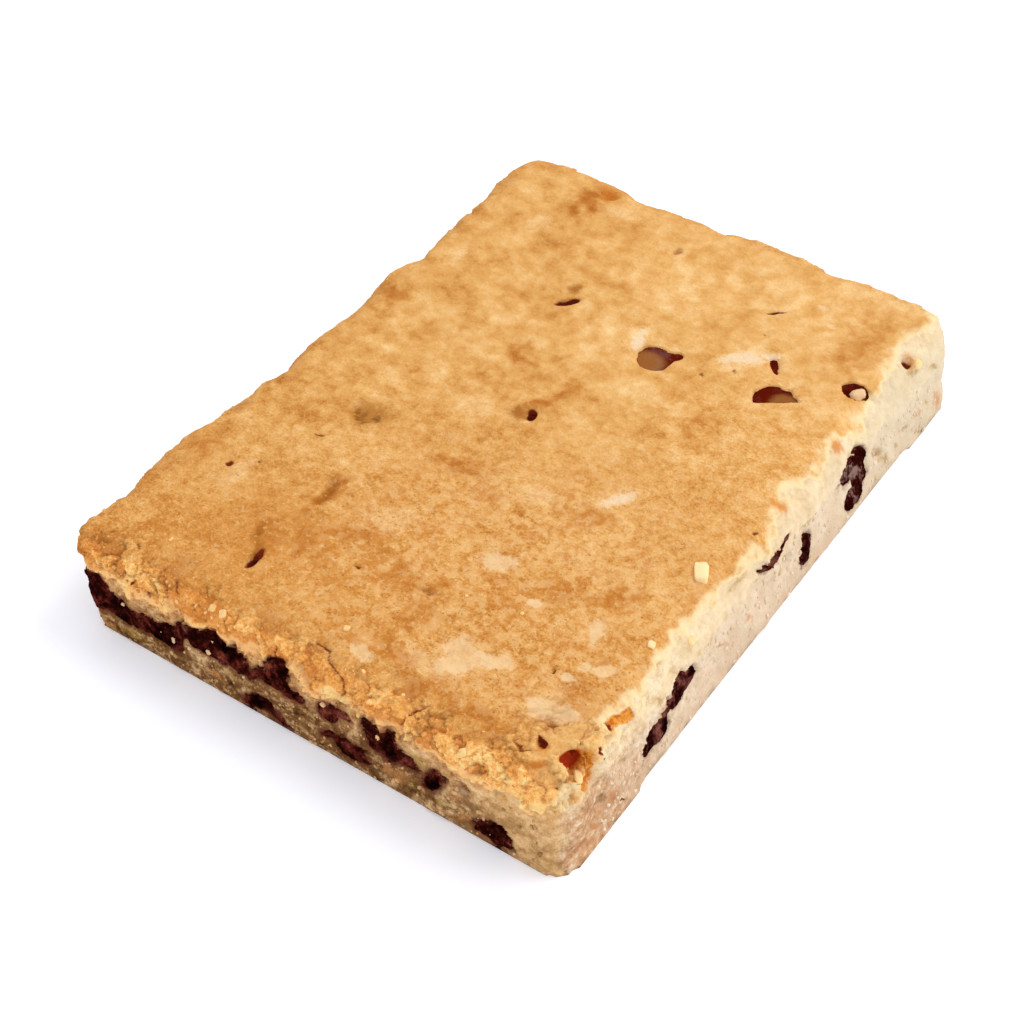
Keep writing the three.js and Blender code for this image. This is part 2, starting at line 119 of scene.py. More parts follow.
# Whitish and pale places of the crust: place, half length, half width, turn
FROSTED = [
    (15, 25.8, 3.6, 1, 40), (17.8, 28.3, 1.4, 0.8, 44), (1.2, 21, 0.9, 2.4, 8),
    (15.6, -7.4, 0.8, 2.4, -28),
]
PALE_CLOUDS = [
    (-6, -26.6, 3.2, 2.4, 20), (-27.6, -30, 2.2, 3, -10), (-25.6, 36.4, 1.8, 2.4, -20),
    (-31, 23, 1.4, 3, 0), (15.4, 26, 4.4, 2, 44), (15.2, -7.4, 1.1, 2.6, -28), (7, -12.6, 2.6, 1.6, 0),
    (28, -40, 4, 2.6, 20), (-17, 45.4, 3, 1.4, 10), (12, -42.6, 4.6, 1.6, -8), (1, 21, 1.6, 3, 8),
]

# Darker baked places: place, half length, half width, turn
BROWNED = [
    (18.7, -24.6, 2.2, 1.6, 20), (1.6, -33.8, 3, 1.5, -35), (6.6, -36.8, 1.4, 3, -20),
    (5.4, -32.3, 1.8, 0.8, 20), (28.4, -36.6, 1.5, 1.8, 0), (9.4, -27, 1.8, 0.6, 0),
    (13.6, -12, 2.6, 0.8, 15), (-17, -37.4, 1.6, 2.2, 40), (27, 38, 2, 5.4, 0),
    (-1.8, 4.6, 0.8, 3, -20), (-22.4, 45, 1.6, 3.4, 0), (13.2, -45.2, 1.4, 2.4, 0), (16.3, 10, 1, 2, 0),
    (-15.2, -26.8, 0.8, 2.8, 0), (20, -45.6, 4, 1.2, -12), (-5, -13.6, 2.6, 1, 10),
    (-10.6, 9, 1.4, 2.2, 30), (-34, -29, 1.2, 3, 0), (-33, 11, 1.4, 2.4, 0), (8, -43.4, 3, 1, -10),
    (24, -22, 2, 1.2, 40), (-12, -35, 1.4, 3, 60), (-8, -30.6, 2.4, 0.9, 15),
]

# Dents painted darker brown: place, half length, half width, turn
DENTS = [
    (-15.4, -26.9, 0.75, 3.1, 4), (-4, -0.6, 1.5, 1.5, 0), (-5, 41.6, 0.7, 1, 0),
    (-17.7, -37.2, 2.1, 0.7, -65), (5, -33.4, 1.6, 0.5, 15), (-16.5, -40.2, 0.5, 1.4, 4),
    (-12.4, 25.4, 1, 0.8, 46),
]

# Orange walls of hollows near the edges: place, half length, half width, turn
ORANGE = [
    (35, -43.3, 1.5, 1.6, 0), (33, 18.4, 0.9, 1.5, 20), (32.3, 4, 1.5, 1.1, 0),
    (-20.8, 48.8, 1.9, 1.6, 0), (29.3, -45, 0.8, 1.3, 40), (12.9, -50.4, 1.2, 0.9, 0),
    (33.2, 39, 1.2, 1.2, 40), (30, -47.2, 1, 0.6, 30),
]

# Hollows at the right front corner: course, half width, depth, and where along X red turns to orange
HOLLOWS = [
    {
        "course": [
            (32, -45.2), (32.3, -44.4), (33.1, -43.4), (34.1, -42.7), (34.8, -43.2), (35.1, -44.6),
        ],
        "half": 0.45, "deep": 0.7, "red_to": 33.2,
    },
    {"course": [(33.4, -37.6), (33.5, -36), (33.9, -34)], "half": 0.26, "deep": 0.25, "red_to": 33},
]

# Dark red bottoms of holes, slits and chinks in the crust, with painted shade that deepens with depth:
# place, half length, half width, turn and depth
DARK_HOLES = [
    (-11.8, 22.9, 1.6, 0.62, 47, 0.5), (-2.45, 0.1, 1, 0.55, -68, 0.5),
    (-15.75, -40.55, 0.48, 1.65, 4, 0.5), (13.8, 37, 1.3, 0.2, 34, 0.3),
    (-22.7, -19.1, 0.7, 0.18, 15, 0.15), (-29.5, -29.2, 0.4, 0.42, 0, 0.3),
    (-26.3, -27.3, 0.42, 0.2, -35, 0.15), (-4.2, -35.1, 0.36, 0.28, 0, 0.3),
    (24.3, -35.5, 0.3, 0.22, -40, 0.3), (32.4, -2.2, 0.28, 0.2, 40, 0.2),
    (15, 22.8, 0.55, 0.2, -55, 0.1), (12.3, 19.7, 0.65, 0.2, -57, 0.1), (24, 9.8, 0.24, 0.18, 0, 0.1),
    (28.7, -44.2, 0.65, 0.36, -25, 0.3), (27.3, -46.6, 0.4, 0.2, -40, 0.2),
    (33.4, -37.7, 0.3, 0.3, 0, 0.3), (33, 38.8, 0.5, 0.5, 0, 0.5), (34.7, -41, 0.4, 0.24, 30, 0.3),
    (5.8, -33.6, 0.4, 0.12, 20, 0.1), (14.9, 32, 0.3, 0.14, 20, 0.1), (31.6, -33.4, 0.24, 0.2, 0, 0.2),
]

# Splits in the crust, from point to point
CRACK_LINES = [
    [(-1, -46.9), (1, -47.3), (2.6, -48.6), (4.2, -49.4), (5.4, -51)],
    [(15.2, -47.8), (13.8, -49.2), (13.2, -50.4), (14.4, -51.4)],
    [(-5.2, -49.8), (-4.4, -51), (-3.2, -52.3)],
    [(-21.1, -48.6), (-20.7, -49), (-20.2, -49.8)],
    [(-24.8, -50.9), (-24.1, -51.1)],
    [(-29, -47), (-28.2, -47.3)],
    [(26, -46.2), (27.6, -46.6), (28.6, -46)],
    [(27.8, -41.9), (28.6, -41.7), (29.9, -40.7)],
]
CRACK_HALF = 0.16

# A dent full of olive specks: place, half length, half width and how many
SPECKLED_DENT = (-20.2, -12.6, 2, 1.1, 15)

# Marks on the cut faces: place along the face, height, half length, half height and tilt
TAN_MARKS = {
    "right": [
        (-41.3, 3.8, 2.6, 0.9, 8), (-41, 3.7, 1.6, 0.25, 10), (-35.4, 4.2, 1.6, 0.4, 16),
        (-36.6, 3.7, 1.2, 0.3, -20), (-27.8, 6.4, 1.4, 0.6, 20), (-14.7, 4.5, 1.8, 0.5, -30),
        (-8.7, 4.2, 1.4, 0.7, -40), (38.6, 4, 1.2, 0.8, 0), (44.6, 2.6, 2.4, 1.2, -20),
        (-46.4, 1.4, 2, 0.5, -30), (-44.4, 2.2, 1.4, 0.4, -40),
    ],
    "front": [
        (13.3, 2.8, 2.2, 1.3, 0), (24, 8.6, 1.6, 0.8, 0), (21.4, 4.8, 1.2, 0.8, 0),
        (-14, 2.4, 1.6, 0.8, 0), (23.6, 2, 1.6, 0.9, 0), (-31.6, 1.6, 1.6, 0.8, 0),
        (33, 8.3, 0.4, 0.3, 40),
    ],
}
OLIVE_MARKS = {
    "right": [
        (-8.9, 10, 2, 0.7, -8), (-5.3, 7.6, 0.8, 0.3, 0), (7.7, 7.4, 1.4, 0.5, -10),
        (28.6, 3, 2.4, 0.7, -38), (32.6, 2.2, 1.4, 0.5, -30), (-27.4, 11.6, 2, 0.5, -14),
        (44.2, 8, 1.2, 0.5, -30), (38.6, 10.6, 2, 0.6, -30), (-37.6, 6.6, 1.4, 0.3, -20),
    ],
    "front": [
        (-11.6, 4.4, 1.6, 0.6, 10), (16.2, 6.2, 1.2, 0.9, -30), (20, 3, 1.2, 0.6, 0),
        (-27, 1.8, 3, 0.7, 0),
    ],
}

# Small dark marks on the cut faces, given as the marks above
DARK_MARKS = {
    "right": [(-39.6, 2, 0.5, 0.2, -30)],
    "front": [(32.3, 6.2, 0.4, 0.3, 40), (-32, 9.4, 0.3, 0.16, 0), (-26.6, 9.8, 0.4, 0.2, 40)],
}

# Pale crumbs that lie on top: place, width, length, turn and how pale
LOOSE_CRUMBS = [
    (30.4, -12.2, 2, 3.6, 30, 1), (31.5, -25.6, 1, 1.1, 10, 0.95), (34, -20.4, 1.2, 1.3, 0, 0.85),
    (16.5, -30.2, 0.5, 0.6, 0, 0.6), (9.4, -31.5, 0.5, 0.5, 20, 0.6), (22, -50, 0.9, 1.1, 30, 0.75),
    (0.8, -43.6, 0.9, 1, 15, 0.6), (-13.3, -49.4, 1, 1.2, 25, 0.7), (-15, -49.3, 1, 1, 5, 0.6),
    (-26.2, -44, 0.5, 0.7, 0, 0.6), (33.7, -44.6, 1.1, 3, 40, 0.8), (34.2, 40.2, 1.4, 1.6, 40, 0.8),
]

# The crumb in the chip near the right rim: place, width, length and turn
CRUMB_IN_CHIP = (30.8, 28.6, 1.8, 2.6, -25)

# Crumbs stuck to the chocolate on the front cut: place along it, height and size
STUCK_CRUMBS = [
    (-28.3, 6.3, 0.5), (-26.3, 4.8, 0.8), (-22.5, 4.4, 0.7), (-20.4, 4.5, 1.0), (-17.4, 5.4, 0.6),
    (-14.8, 5.7, 1.1), (-14.4, 7.4, 0.5), (-4.4, 7.8, 0.7), (10.5, 6.8, 0.9), (12.1, 7.2, 0.6),
    (2.6, 7.4, 0.7), (26.8, 1.8, 0.4),
]

# How each bared chip looks: share of dull grey bloom, partly a painted sheen, and share of warm brown, a
# painted highlight near the chip's glint that turns to painted shade away from it. A chip that isn't named
# is plain.
PLAIN_CHIP = (0.05, 0.0)
CHIP_LOOKS = {
    "right": (0.2, 0.0), "right_4": (0.75, 0.1), "top_1": (0.2, 1.0), "top_2": (0.05, 0.9),
    "top_3": (0.0, 0.7), "top_4": (0.0, 0.4),
}

# Where the light catches a chip in the crust, and how far from there it has turned dark
CHIP_GLINTS = {
    "chip_top_1": (4.2, 18.2, 3.4), "chip_top_2": (23.6, 21.2, 2.6), "chip_top_3": (20.4, 24.6, 1.2),
    "chip_top_4": (31.4, 27.6, 1.6),
}

# Width of the rim where a chip meets the cake
CHIP_RIM_WIDE = 0.5

SEED = 41
RNG = random.Random(SEED)


# Small helpers

def pick_only(obj):
    bpy.ops.object.select_all(action="DESELECT")
    obj.select_set(True)
    bpy.context.view_layer.objects.active = obj


def apply_modifier(obj, kind, **settings):
    pick_only(obj)
    modifier = obj.modifiers.new(kind.lower(), kind)
    for key, value in settings.items():
        setattr(modifier, key, value)
    bpy.ops.object.modifier_apply(modifier=modifier.name)


def copy_of(node, name):
    obj = bpy.data.objects.new(name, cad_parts[node].data.copy())
    bpy.context.collection.objects.link(obj)
    obj.data.materials.clear()
    pick_only(obj)
    bpy.ops.object.mode_set(mode="EDIT")
    bpy.ops.mesh.select_all(action="SELECT")
    bpy.ops.mesh.remove_doubles(threshold=SAME_POINT * MM)
    bpy.ops.object.mode_set(mode="OBJECT")
    return obj


def select_where(obj, kind, test):
    """Goes into edit mode with only those faces or edges selected that pass a test."""
    pick_only(obj)
    bpy.ops.object.mode_set(mode="EDIT")
    bpy.ops.mesh.select_mode(type=kind)
    bpy.ops.mesh.select_all(action="DESELECT")
    bpy.ops.object.mode_set(mode="OBJECT")
    parts = obj.data.polygons if kind == "FACE" else obj.data.edges
    for part in parts:
        part.select = test(part)
    bpy.ops.object.mode_set(mode="EDIT")


def make_lumps(name, size):
    texture = bpy.data.textures.new(name, "CLOUDS")
    texture.noise_scale = size * MM
    texture.noise_depth = 2
    texture.noise_basis = "ORIGINAL_PERLIN"


def points_of(obj):
    flat = np.empty(len(obj.data.vertices) * 3)
    obj.data.vertices.foreach_get("co", flat)
    return flat.reshape(-1, 3) / MM


def normals_of(obj):
    flat = np.empty(len(obj.data.vertices) * 3)
    obj.data.vertex_normals.foreach_get("vector", flat)
    return flat.reshape(-1, 3)


def set_points(obj, points):
    obj.data.vertices.foreach_set("co", (points * MM).ravel())
    obj.data.update()


def store(obj, name, values):
    attribute = obj.data.attributes.get(name)
    if attribute is None:
        attribute = obj.data.attributes.new(name, "FLOAT", "POINT")
    attribute.data.foreach_set("value", np.asarray(values, dtype=np.float32))


def weigh(obj, name, weights):
    group = obj.vertex_groups.new(name=name)
    for i in np.nonzero(weights > 0.01)[0]:
        group.add([int(i)], float(weights[i]), "REPLACE")


def ease(x, low, high):
    """0 at the first limit and 1 at the second, smooth between them."""
    t = np.clip((x - low) / (high - low), 0, 1)
    return t * t * (3 - 2 * t)


def lumpy(points, size, seed=0.0):
    """Smooth noise from about -1 to 1. The seed may differ from point to point."""
    seeds = np.broadcast_to(seed, len(points))
    step = 1 / size
    return np.array([
        noise.noise(Vector((p[0] * step + s, p[1] * step, p[2] * step))) for p, s in zip(points, seeds)
    ])


def oval(u, v, at_u, at_v, half_long, half_wide, turn):
    """Reach from the middle of an oval, 1 on its outline."""
    a = math.radians(turn)
    du = u - at_u
    dv = v - at_v
    along = du * math.cos(a) + dv * math.sin(a)
    across = dv * math.cos(a) - du * math.sin(a)
    return np.sqrt((along / half_long) ** 2 + (across / half_wide) ** 2)


def line_distance(u, v, line):
    """How far points lie from a line that runs from point to point."""
    best = np.full(len(u), FAR_OFF)
    flat = np.stack([u, v], axis=1)
    for a, b in zip(line, line[1:]):
        run = np.subtract(b, a)
        t = np.clip(((flat - a) @ run) / (run @ run), 0, 1)
        best = np.minimum(best, np.linalg.norm(flat - a - t[:, None] * run, axis=1))
    return best


# Chocolate chips: each is a refined copy of its solid, and a second, wider copy fills its pocket

chip_pieces = {}
fillers = []


def grown_chip(node, name, grows, voxel):
    chip = copy_of(node, name)
    low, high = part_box(node)
    middle = (Vector(low) + Vector(high)) / 2
    grow = FACES[node.split("_")[1]]["grow"]
    spread = [1 + 2 * grows * MM * g / (b - a) for g, a, b in zip(grow, low, high)]
    bpy.ops.object.mode_set(mode="EDIT")
    bpy.ops.mesh.select_all(action="SELECT")
    bpy.ops.transform.resize(value=spread, center_override=middle)
    bpy.ops.object.mode_set(mode="OBJECT")
    apply_modifier(chip, "REMESH", mode="VOXEL", voxel_size=voxel * MM)
    return chip


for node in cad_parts:
    if node.startswith("chip_"):
        chip_pieces[node] = grown_chip(node, node.replace("chip_", "chocolate_"), CHIP_GROWS, CHIP_VOXEL)
        fillers.append(grown_chip(node, "filler", FILLER_GROWS, CAKE_VOXEL))

# Cake: the crumb joined with the fillers, so that no gap is left round a chip, then remeshed, and
# subdivided where its relief is finest

cake = copy_of("crumb", "cake")
pick_only(cake)
for filler in fillers:
    filler.select_set(True)
bpy.ops.object.join()
apply_modifier(cake, "REMESH", mode="VOXEL", voxel_size=CAKE_VOXEL * MM)
apply_modifier(cake, "SMOOTH", factor=0.5, iterations=2)
FINE_SPOTS = [(spot[0], spot[1], max(spot[2:4]) + FINE_ROUND_HOLES) for spot in DARK_HOLES]
FINE_SPOTS += FINE_ROUND_CHIPS


def needs_fine_mesh(polygon):
    place = polygon.center / MM
    on_rim = place.x > FINE_FROM_X and (place.z > FINE_WALL_FROM_Z or place.y < FINE_WALL_TO_Y)
    if place.z > FINE_FROM_Z and (place.y < FINE_FROM_Y or on_rim):
        return True
    across = place.x - SHIFT_X
    along = place.y - SHIFT_Y
    in_crust = place.z > FINE_CRUST_FROM_Z
    return in_crust and any(math.hypot(across - u, along - v) < reach for u, v, reach in FINE_SPOTS)


select_where(cake, "FACE", needs_fine_mesh)
bpy.ops.mesh.subdivide(number_cuts=1)
bpy.ops.object.mode_set(mode="OBJECT")

# How far each point lies on the top and on each cut, and the parts of the surface that get relief
points = points_of(cake)
normals = normals_of(cake)
x, y, z = points.T
on_top = ease(normals[:, 2], 0.25, 0.65)
on_front = ease(-normals[:, 1], 0.3, 0.8)
on_right = ease(normals[:, 0], 0.3, 0.8)
on_left = ease(-normals[:, 0], 0.3, 0.8)
on_back = ease(normals[:, 1], 0.3, 0.8)
flat_top = ease(normals[:, 2], 0.55, 0.9) * ease(z, 8, 11)
side = (1 - flat_top) * ease(z, 0.3, 1.2) * ease(normals[:, 2], -0.8, -0.4)
weigh(cake, "cut_sides", side)
weigh(cake, "front_rough", side * on_front)
weigh(cake, "right_rough", side * on_right * ease(z, 11, 9))
weigh(cake, "rims", side * ease(z, 8.5, 10.5))
weigh(cake, "crust_top", flat_top)
weigh(cake, "crust_front", flat_top * ease(y, 5, -35))

# Relief: size and height of its lumps, and the part of the cake that has it. A chip has the relief of
# its face.
RELIEF = {
    "side_lumps": (2.7, 0.5, "cut_sides"),
    "side_grain": (1.0, 0.2, "cut_sides"),
    "front_grain": (0.8, 0.45, "front_rough"),
    "right_grain": (0.75, 0.42, "right_rough"),
    "rim_lumps": (1.8, 0.3, "rims"),
    "top_swells": (6.0, 0.4, "crust_top"),
    "top_pebbles": (1.5, 0.1, "crust_top"),
    "front_pebbles": (1.2, 0.36, "crust_front"),
}
CHIP_RELIEF = {
    "front": ("side_lumps", "front_grain"),
    "right": ("side_lumps", "right_grain"),
    "back": ("side_lumps",),
    "left": ("side_lumps",),
    "top": ("top_swells",),
}


def roughen(obj, name, height, group=""):
    apply_modifier(
        obj, "DISPLACE", texture=bpy.data.textures[name], texture_coords="LOCAL",
        strength=height * MM, mid_level=0.5, vertex_group=group,
    )


for name, (size, height, group) in RELIEF.items():
    make_lumps(name, size)
    roughen(cake, name, height, group)
for node, chip in chip_pieces.items():
    for name in CHIP_RELIEF[node.split("_")[1]]:
        roughen(chip, name, RELIEF[name][1])

# Masks of the cake's surface, and the low relief that goes with them. px and py are measured from the
# middle of the cut bar, and the wavers push outlines about.

points = points_of(cake)
normals = normals_of(cake)
x, y, z = points.T
px = x - SHIFT_X
py = y - SHIFT_Y
waver_x = 1.3 * lumpy(points, 2.6, 11.0) + 0.7 * lumpy(points, 0.9, 13.0)
waver_y = 1.3 * lumpy(points, 2.6, 17.0) + 0.7 * lumpy(points, 0.9, 19.0)


def wavering_oval(spot, wander):
    return oval(px + wander * waver_x, py + wander * waver_y, *spot)


def patches(places, softness, wander, where):
    """How far inside any of the ovals a point lies, on a wavering copy of the surface."""
    field = np.zeros(len(points))
    for spot in places:
        field = np.maximum(field, 1 - softness * wavering_oval(spot, wander))
    return np.clip(field, 0, 1) * where


def face_marks(marks):
    """How far inside any of the marks on the right and front cuts a point lies."""
    field = np.zeros(len(points))
    for face, along, share in (("right", py, on_right), ("front", px, on_front)):
        for spot in marks[face]:
            reach = oval(along + 0.6 * waver_x, z + 0.6 * waver_y, *spot)
            field = np.maximum(field, np.clip(1 - 0.5 * reach, 0, 1) * share)
    return field


upper = ease(z, 8.5, 10)
peeled = patches(PEELED, 0.5, 0.6, on_top)
frosted = patches(FROSTED, 0.5, 0.5, on_top)
clouds = patches(PALE_CLOUDS, 0.5, 1.0, on_top)
browned = patches(BROWNED, 0.4, 1.3, on_top)
dents = patches(DENTS, 0.45, 0.6, on_top)
orange = patches(ORANGE, 0.5, 0.5, upper)

# How far the surface sinks, and how dark it is, in dents, specks, holes, cracks and hollows
dark = np.zeros(len(points))
sink = 0.12 * ease(peeled, 0.45, 0.6) + 0.15 * ease(dents, 0.4, 0.9)
at_x, at_y, half_long, half_wide, count = SPECKLED_DENT
specks = []
for _ in range(count):
    turn = RNG.uniform(0, math.tau)
    out = math.sqrt(RNG.uniform(0, 1))
    spot_x = at_x + half_long * out * math.cos(turn)
    spot_y = at_y + half_wide * out * math.sin(turn)
    specks.append((spot_x, spot_y, RNG.uniform(0.2, 0.45), RNG.uniform(0.14, 0.28), RNG.uniform(-60, 60)))
olive_dent = patches([(at_x, at_y + 1, 1.2 * half_long, 1.7 * half_wide, 15)], 0.4, 0.6, on_top)
olive_speck = np.zeros(len(points))
for spot in specks:
    reach = wavering_oval(spot, 0.3)
    olive_speck = np.maximum(olive_speck, ease(reach, 1.5, 0.8) * upper)
    sink = np.maximum(sink, 0.15 * ease(reach, 1.7, 0.4) * on_top)
for *spot, deep in DARK_HOLES:
    wander = 0.45 if deep < 0.5 else 0.25
    reach = wavering_oval(spot, wander)
    # Deeper holes get more of the dark red: painted shade over their own colour
    shade = min(0.45 + 1.2 * deep, 1)
    dark = np.maximum(dark, shade * ease(reach, 1.5, 0.8) * upper)
    sink = np.maximum(sink, deep * ease(reach, 1.7, 0.4) * on_top)
for line in CRACK_LINES:
    gap = line_distance(px + 0.35 * waver_x, py + 0.35 * waver_y, line)
    dark = np.maximum(dark, 0.65 * ease(gap, 1.8 * CRACK_HALF, 0.3 * CRACK_HALF) * ease(z, 8.5, 9.5))
    sink = np.maximum(sink, 0.35 * ease(gap, 2.4 * CRACK_HALF, 0) * ease(z, 8.5, 9.5))

hollow = np.zeros(len(points))
hollow_red = np.zeros(len(points))
for spot in HOLLOWS:
    from_course = line_distance(px + 0.25 * waver_x, py + 0.25 * waver_y, spot["course"])
    within = ease(from_course, 2.4 * spot["half"], 0.3 * spot["half"]) * ease(z, 7.5, 9)
    sink = np.maximum(sink, spot["deep"] * within)
    hollow = np.maximum(hollow, within)
    hollow_red = np.maximum(hollow_red, within * ease(px, spot["red_to"] + 0.5, spot["red_to"] - 0.5))

# The crust ends raggedly on the cuts. On the right it fades into a pale rim, partly pale crumb and partly
# a painted highlight.
ragged = 1.6 * lumpy(points, 3.0) + 1.0 * lumpy(points, 1.0, 7.0)
inland = np.minimum.reduce([
    np.where(py < -40, z - CRUST_EDGE["front"], FAR_OFF),
    np.where(px < -28, z - CRUST_EDGE["left"], FAR_OFF),
    np.where(py > 40, z - CRUST_EDGE["back"], FAR_OFF),
])
crust = ease(inland + ragged, -0.6, 0.6)
rim_wave = 1.7 * lumpy(points, 4.4, 29.0) + 1.2 * lumpy(points, 1.6, 31.0)
rim_wave += 0.5 * lumpy(points, 0.7, 37.0)
right_rim = px + rim_wave - RIGHT_EDGE + 0.9 * ease(np.abs(py - 12), 14, 4) + 1.8 * ease(py, 26, 44)
right_rim -= 1.6 * ease(py, -38, -43)
crust = crust * (1 - ease(right_rim, -0.7, 0.6))
# The pale right rim, partly pale crumb and partly a painted highlight
rim_fade_and_highlight = ease(right_rim, -2.8, 0.4)
broken_edge = ease(np.abs(inland + ragged - 0.6), 1.4, 0.2) * (1 - on_right)

# Flaky plates where the crust breaks up: mostly along the front and at the right front corner
front_flaky = ease(py + 1.2 * waver_y, -44, -49) * ease(z, 7.0, 8.6)
corner_flaky = ease(np.hypot(px - 32, py + 45.5), 9.5, 5.5) * ease(z, 8, 9.5)
other_flaky = np.maximum(ease(px, -33.5, -36), ease(py, 48.5, 50.5)) * ease(z, 8, 9.5)
right_flaky = ease(right_rim, -2.5, -0.5) * ease(z, 8.5, 10)
flaky = np.maximum.reduce([front_flaky, corner_flaky, 0.5 * other_flaky, 0.2 * right_flaky])


def plates(size, bend):
    """Irregular plates of one size: a tone and a tilt for each, and the gap between neighbours."""
    tone = np.full(len(points), 0.5)
    tilt = np.zeros(len(points))
    gap = np.ones(len(points))
    for i in np.nonzero(flaky > 0.02)[0]:
        spot = Vector((x[i] + bend * waver_x[i], y[i] + bend * waver_y[i], z[i] - bend * waver_x[i]))
        spot /= size
        reach, centres = noise.voronoi(spot)
        tone[i] = noise.cell(centres[0] * 7.3)
        tilt[i] = (spot - centres[0]).dot(noise.cell_vector(centres[0] * 5.1) - Vector((0.5, 0.5, 0.5)))
        gap[i] = reach[1] - reach[0]
    return tone, tilt, gap


FLAKE = {"size": 2.8, "rise": 0.3, "tilt": 0.45}
CLUMP = {"size": 1.3, "rise": 0.42}
CRUMBLE = {"size": 0.65, "rise": 0.3}
flake_shade, flake_tilt, flake_gap = plates(FLAKE["size"], 0.6)
clump = np.abs(lumpy(points, CLUMP["size"], 83.0))
crumble = np.abs(lumpy(points, CRUMBLE["size"], 89.0))
broken = ease(lumpy(points, 2.4, 53.0), -0.1, 0.35)
# Painted shade in the gaps between plates and between clumps, where the surface also sinks
shaded_crevice = np.maximum.reduce([
    ease(flake_gap, 0.1, 0.01), 0.8 * ease(clump, 0.07, 0.0), 0.5 * ease(crumble, 0.06, 0.0),
]) * flaky * broken
lift = FLAKE["rise"] * (flake_shade - 0.5) + FLAKE["tilt"] * flake_tilt
rougher = 0.4 + 0.6 * ease(px, -14, 6)
lift += rougher * (CLUMP["rise"] * (clump - 0.3) + CRUMBLE["rise"] * (crumble - 0.3))
lift *= flaky
flake_tone = 0.35 * flake_shade + 0.4 * clump + 0.35 * crumble + 0.16 + 0.35 * lumpy(points, 4.0, 61.0)
flake_tone = np.clip(flake_tone, 0, 1)

# Each chip lies in a shallow pocket, with chocolate smeared round it
chip_verts = []
chip_faces = []
for chip in chip_pieces.values():
    start = len(chip_verts)
    chip_verts += [v.co / MM for v in chip.data.vertices]
    chip_faces += [[start + i for i in p.vertices] for p in chip.data.polygons]
chip_tree = BVHTree.FromPolygons(chip_verts, chip_faces)
near_chip = np.full(len(points), FAR_OFF)
for i, p in enumerate(points - PROBE_DEEP * normals):
    hit = chip_tree.find_nearest(Vector(p), CHIP_REACH)
    if hit[0] is not None:
        inner = (Vector(p) - hit[0]).dot(hit[1]) < 0
        near_chip[i] = -hit[3] if inner else hit[3]
ragged_chip = 0.75 * lumpy(points, 1.1, 71.0) + 0.5 * lumpy(points, 0.5, 73.0)
ragged_chip *= 1 - 0.75 * on_top
pocket = POCKET_DEEP * ease(near_chip + ragged_chip, 0.3, 0.0)

# The lower edge of the cuts is ragged too
under = 0.4 * ease(z, 1.6, 0.2) * ease(lumpy(points, 1.6, 47.0), -0.2, 0.5)
under *= ease(normals[:, 2], -0.7, -0.2)

step = CRUST_PROUD * (crust - 0.5) * ease(z, 2, 6)
bottom = z < UNDERSIDE_Z
moved = points + normals * (step + lift - pocket - sink - 0.25 * shaded_crevice - under)[:, None]
moved[bottom] = points[bottom]
moved[bottom, 2] = 0
moved[:, 2] = np.maximum(moved[:, 2], 0)
set_points(cake, moved)

# What the materials read, as a value for each point of the cake. The cut is roughest in front and
# smoothest far along the right.
wall_grain = 0.6 + 0.4 * on_front
wall_grain += on_right * (1 - 0.84 * ease(py, -40, -5) - wall_grain)
MASKS = {
    "crust": crust,
    "rim_fade_and_highlight": rim_fade_and_highlight,
    "peeled": peeled,
    "clouds": clouds,
    "browned": browned,
    "dents": dents,
    "olive_dent": olive_dent,
    "olive_speck": olive_speck,
    "grainy": np.maximum(
        ease(py, 15, -38) * (1 - 0.45 * ease(px, -4, -26) * ease(py, -44, -30)),
        0.6 * ease(px, 2, 22) * ease(py, 36, 4),
    ),
    "orange": orange,
    "hollow": hollow,
    "hollow_red": hollow_red,
    "dark": dark,
    "flaky": flaky,
    "flake_tone": flake_tone,
    "shaded_crevice": shaded_crevice,
    "mottled": ease(np.hypot((px - 12) / 30, (py + 30) / 30), 1.3, 0.4),
    "stain": ease(near_chip, 1.5, 0.1) * (1 - 0.6 * on_top) * (1 - 0.35 * on_right),
    "frosted": frosted,
    "broken_edge": broken_edge,
    # The right front corner is pale, and is painted lighter still as painted light where it slopes away
    # from the light
    "pale_and_lit_corner": ease(np.hypot(px - 33.5, py + 44.5), 8.5, 3.5),
    "wall_grain": wall_grain,
    "dark_mark": face_marks(DARK_MARKS),
    # The front cut, and part way the hidden ones, get the browner crumb that is partly painted shade
    "shaded_browner_cut": np.maximum(on_front, HIDDEN_SHADED_BROWNER * np.maximum(on_left, on_back)),
    "low": ease(z, 8.8, 4.2),
    "lowest": ease(z, 4.0, 0.4),
    # Painted light: the crust grows lighter towards the right
    "lit_right_side": ease(px, -38, 38),
    "toasted": ease(np.hypot((px + 14) / 1.6, py + 39), 17, 6),
    # Painted light on the front cut towards the right corner, whose rounding catches the light
    "front_right": ease(px, 16, 34) * on_front,
    "far_right": ease(py, 5, 35) * on_right,
    "shaded": ease(-normals[:, 1], 0.15, 0.75),
    "tan_mark": face_marks(TAN_MARKS),
    "olive_mark": face_marks(OLIVE_MARKS),
    "near_corner": ease(py, -28, -46) * on_right * ease(z, 9.5, 6.5),
}
for name, values in MASKS.items():
    store(cake, name, values)


# The flat underside is one face

def lies_flat(part):
    return all(cake.data.vertices[i].co.z < FLAT_Z * MM for i in part.vertices)


select_where(cake, "FACE", lies_flat)
bpy.ops.mesh.delete(type="FACE")
bpy.ops.object.mode_set(mode="OBJECT")
select_where(cake, "EDGE", lies_flat)
bpy.ops.mesh.edge_face_add()
bpy.ops.object.mode_set(mode="OBJECT")
bpy.ops.object.shade_smooth()
cake_tree = BVHTree.FromPolygons(
    [v.co / MM for v in cake.data.vertices], [tuple(p.vertices) for p in cake.data.polygons],
)

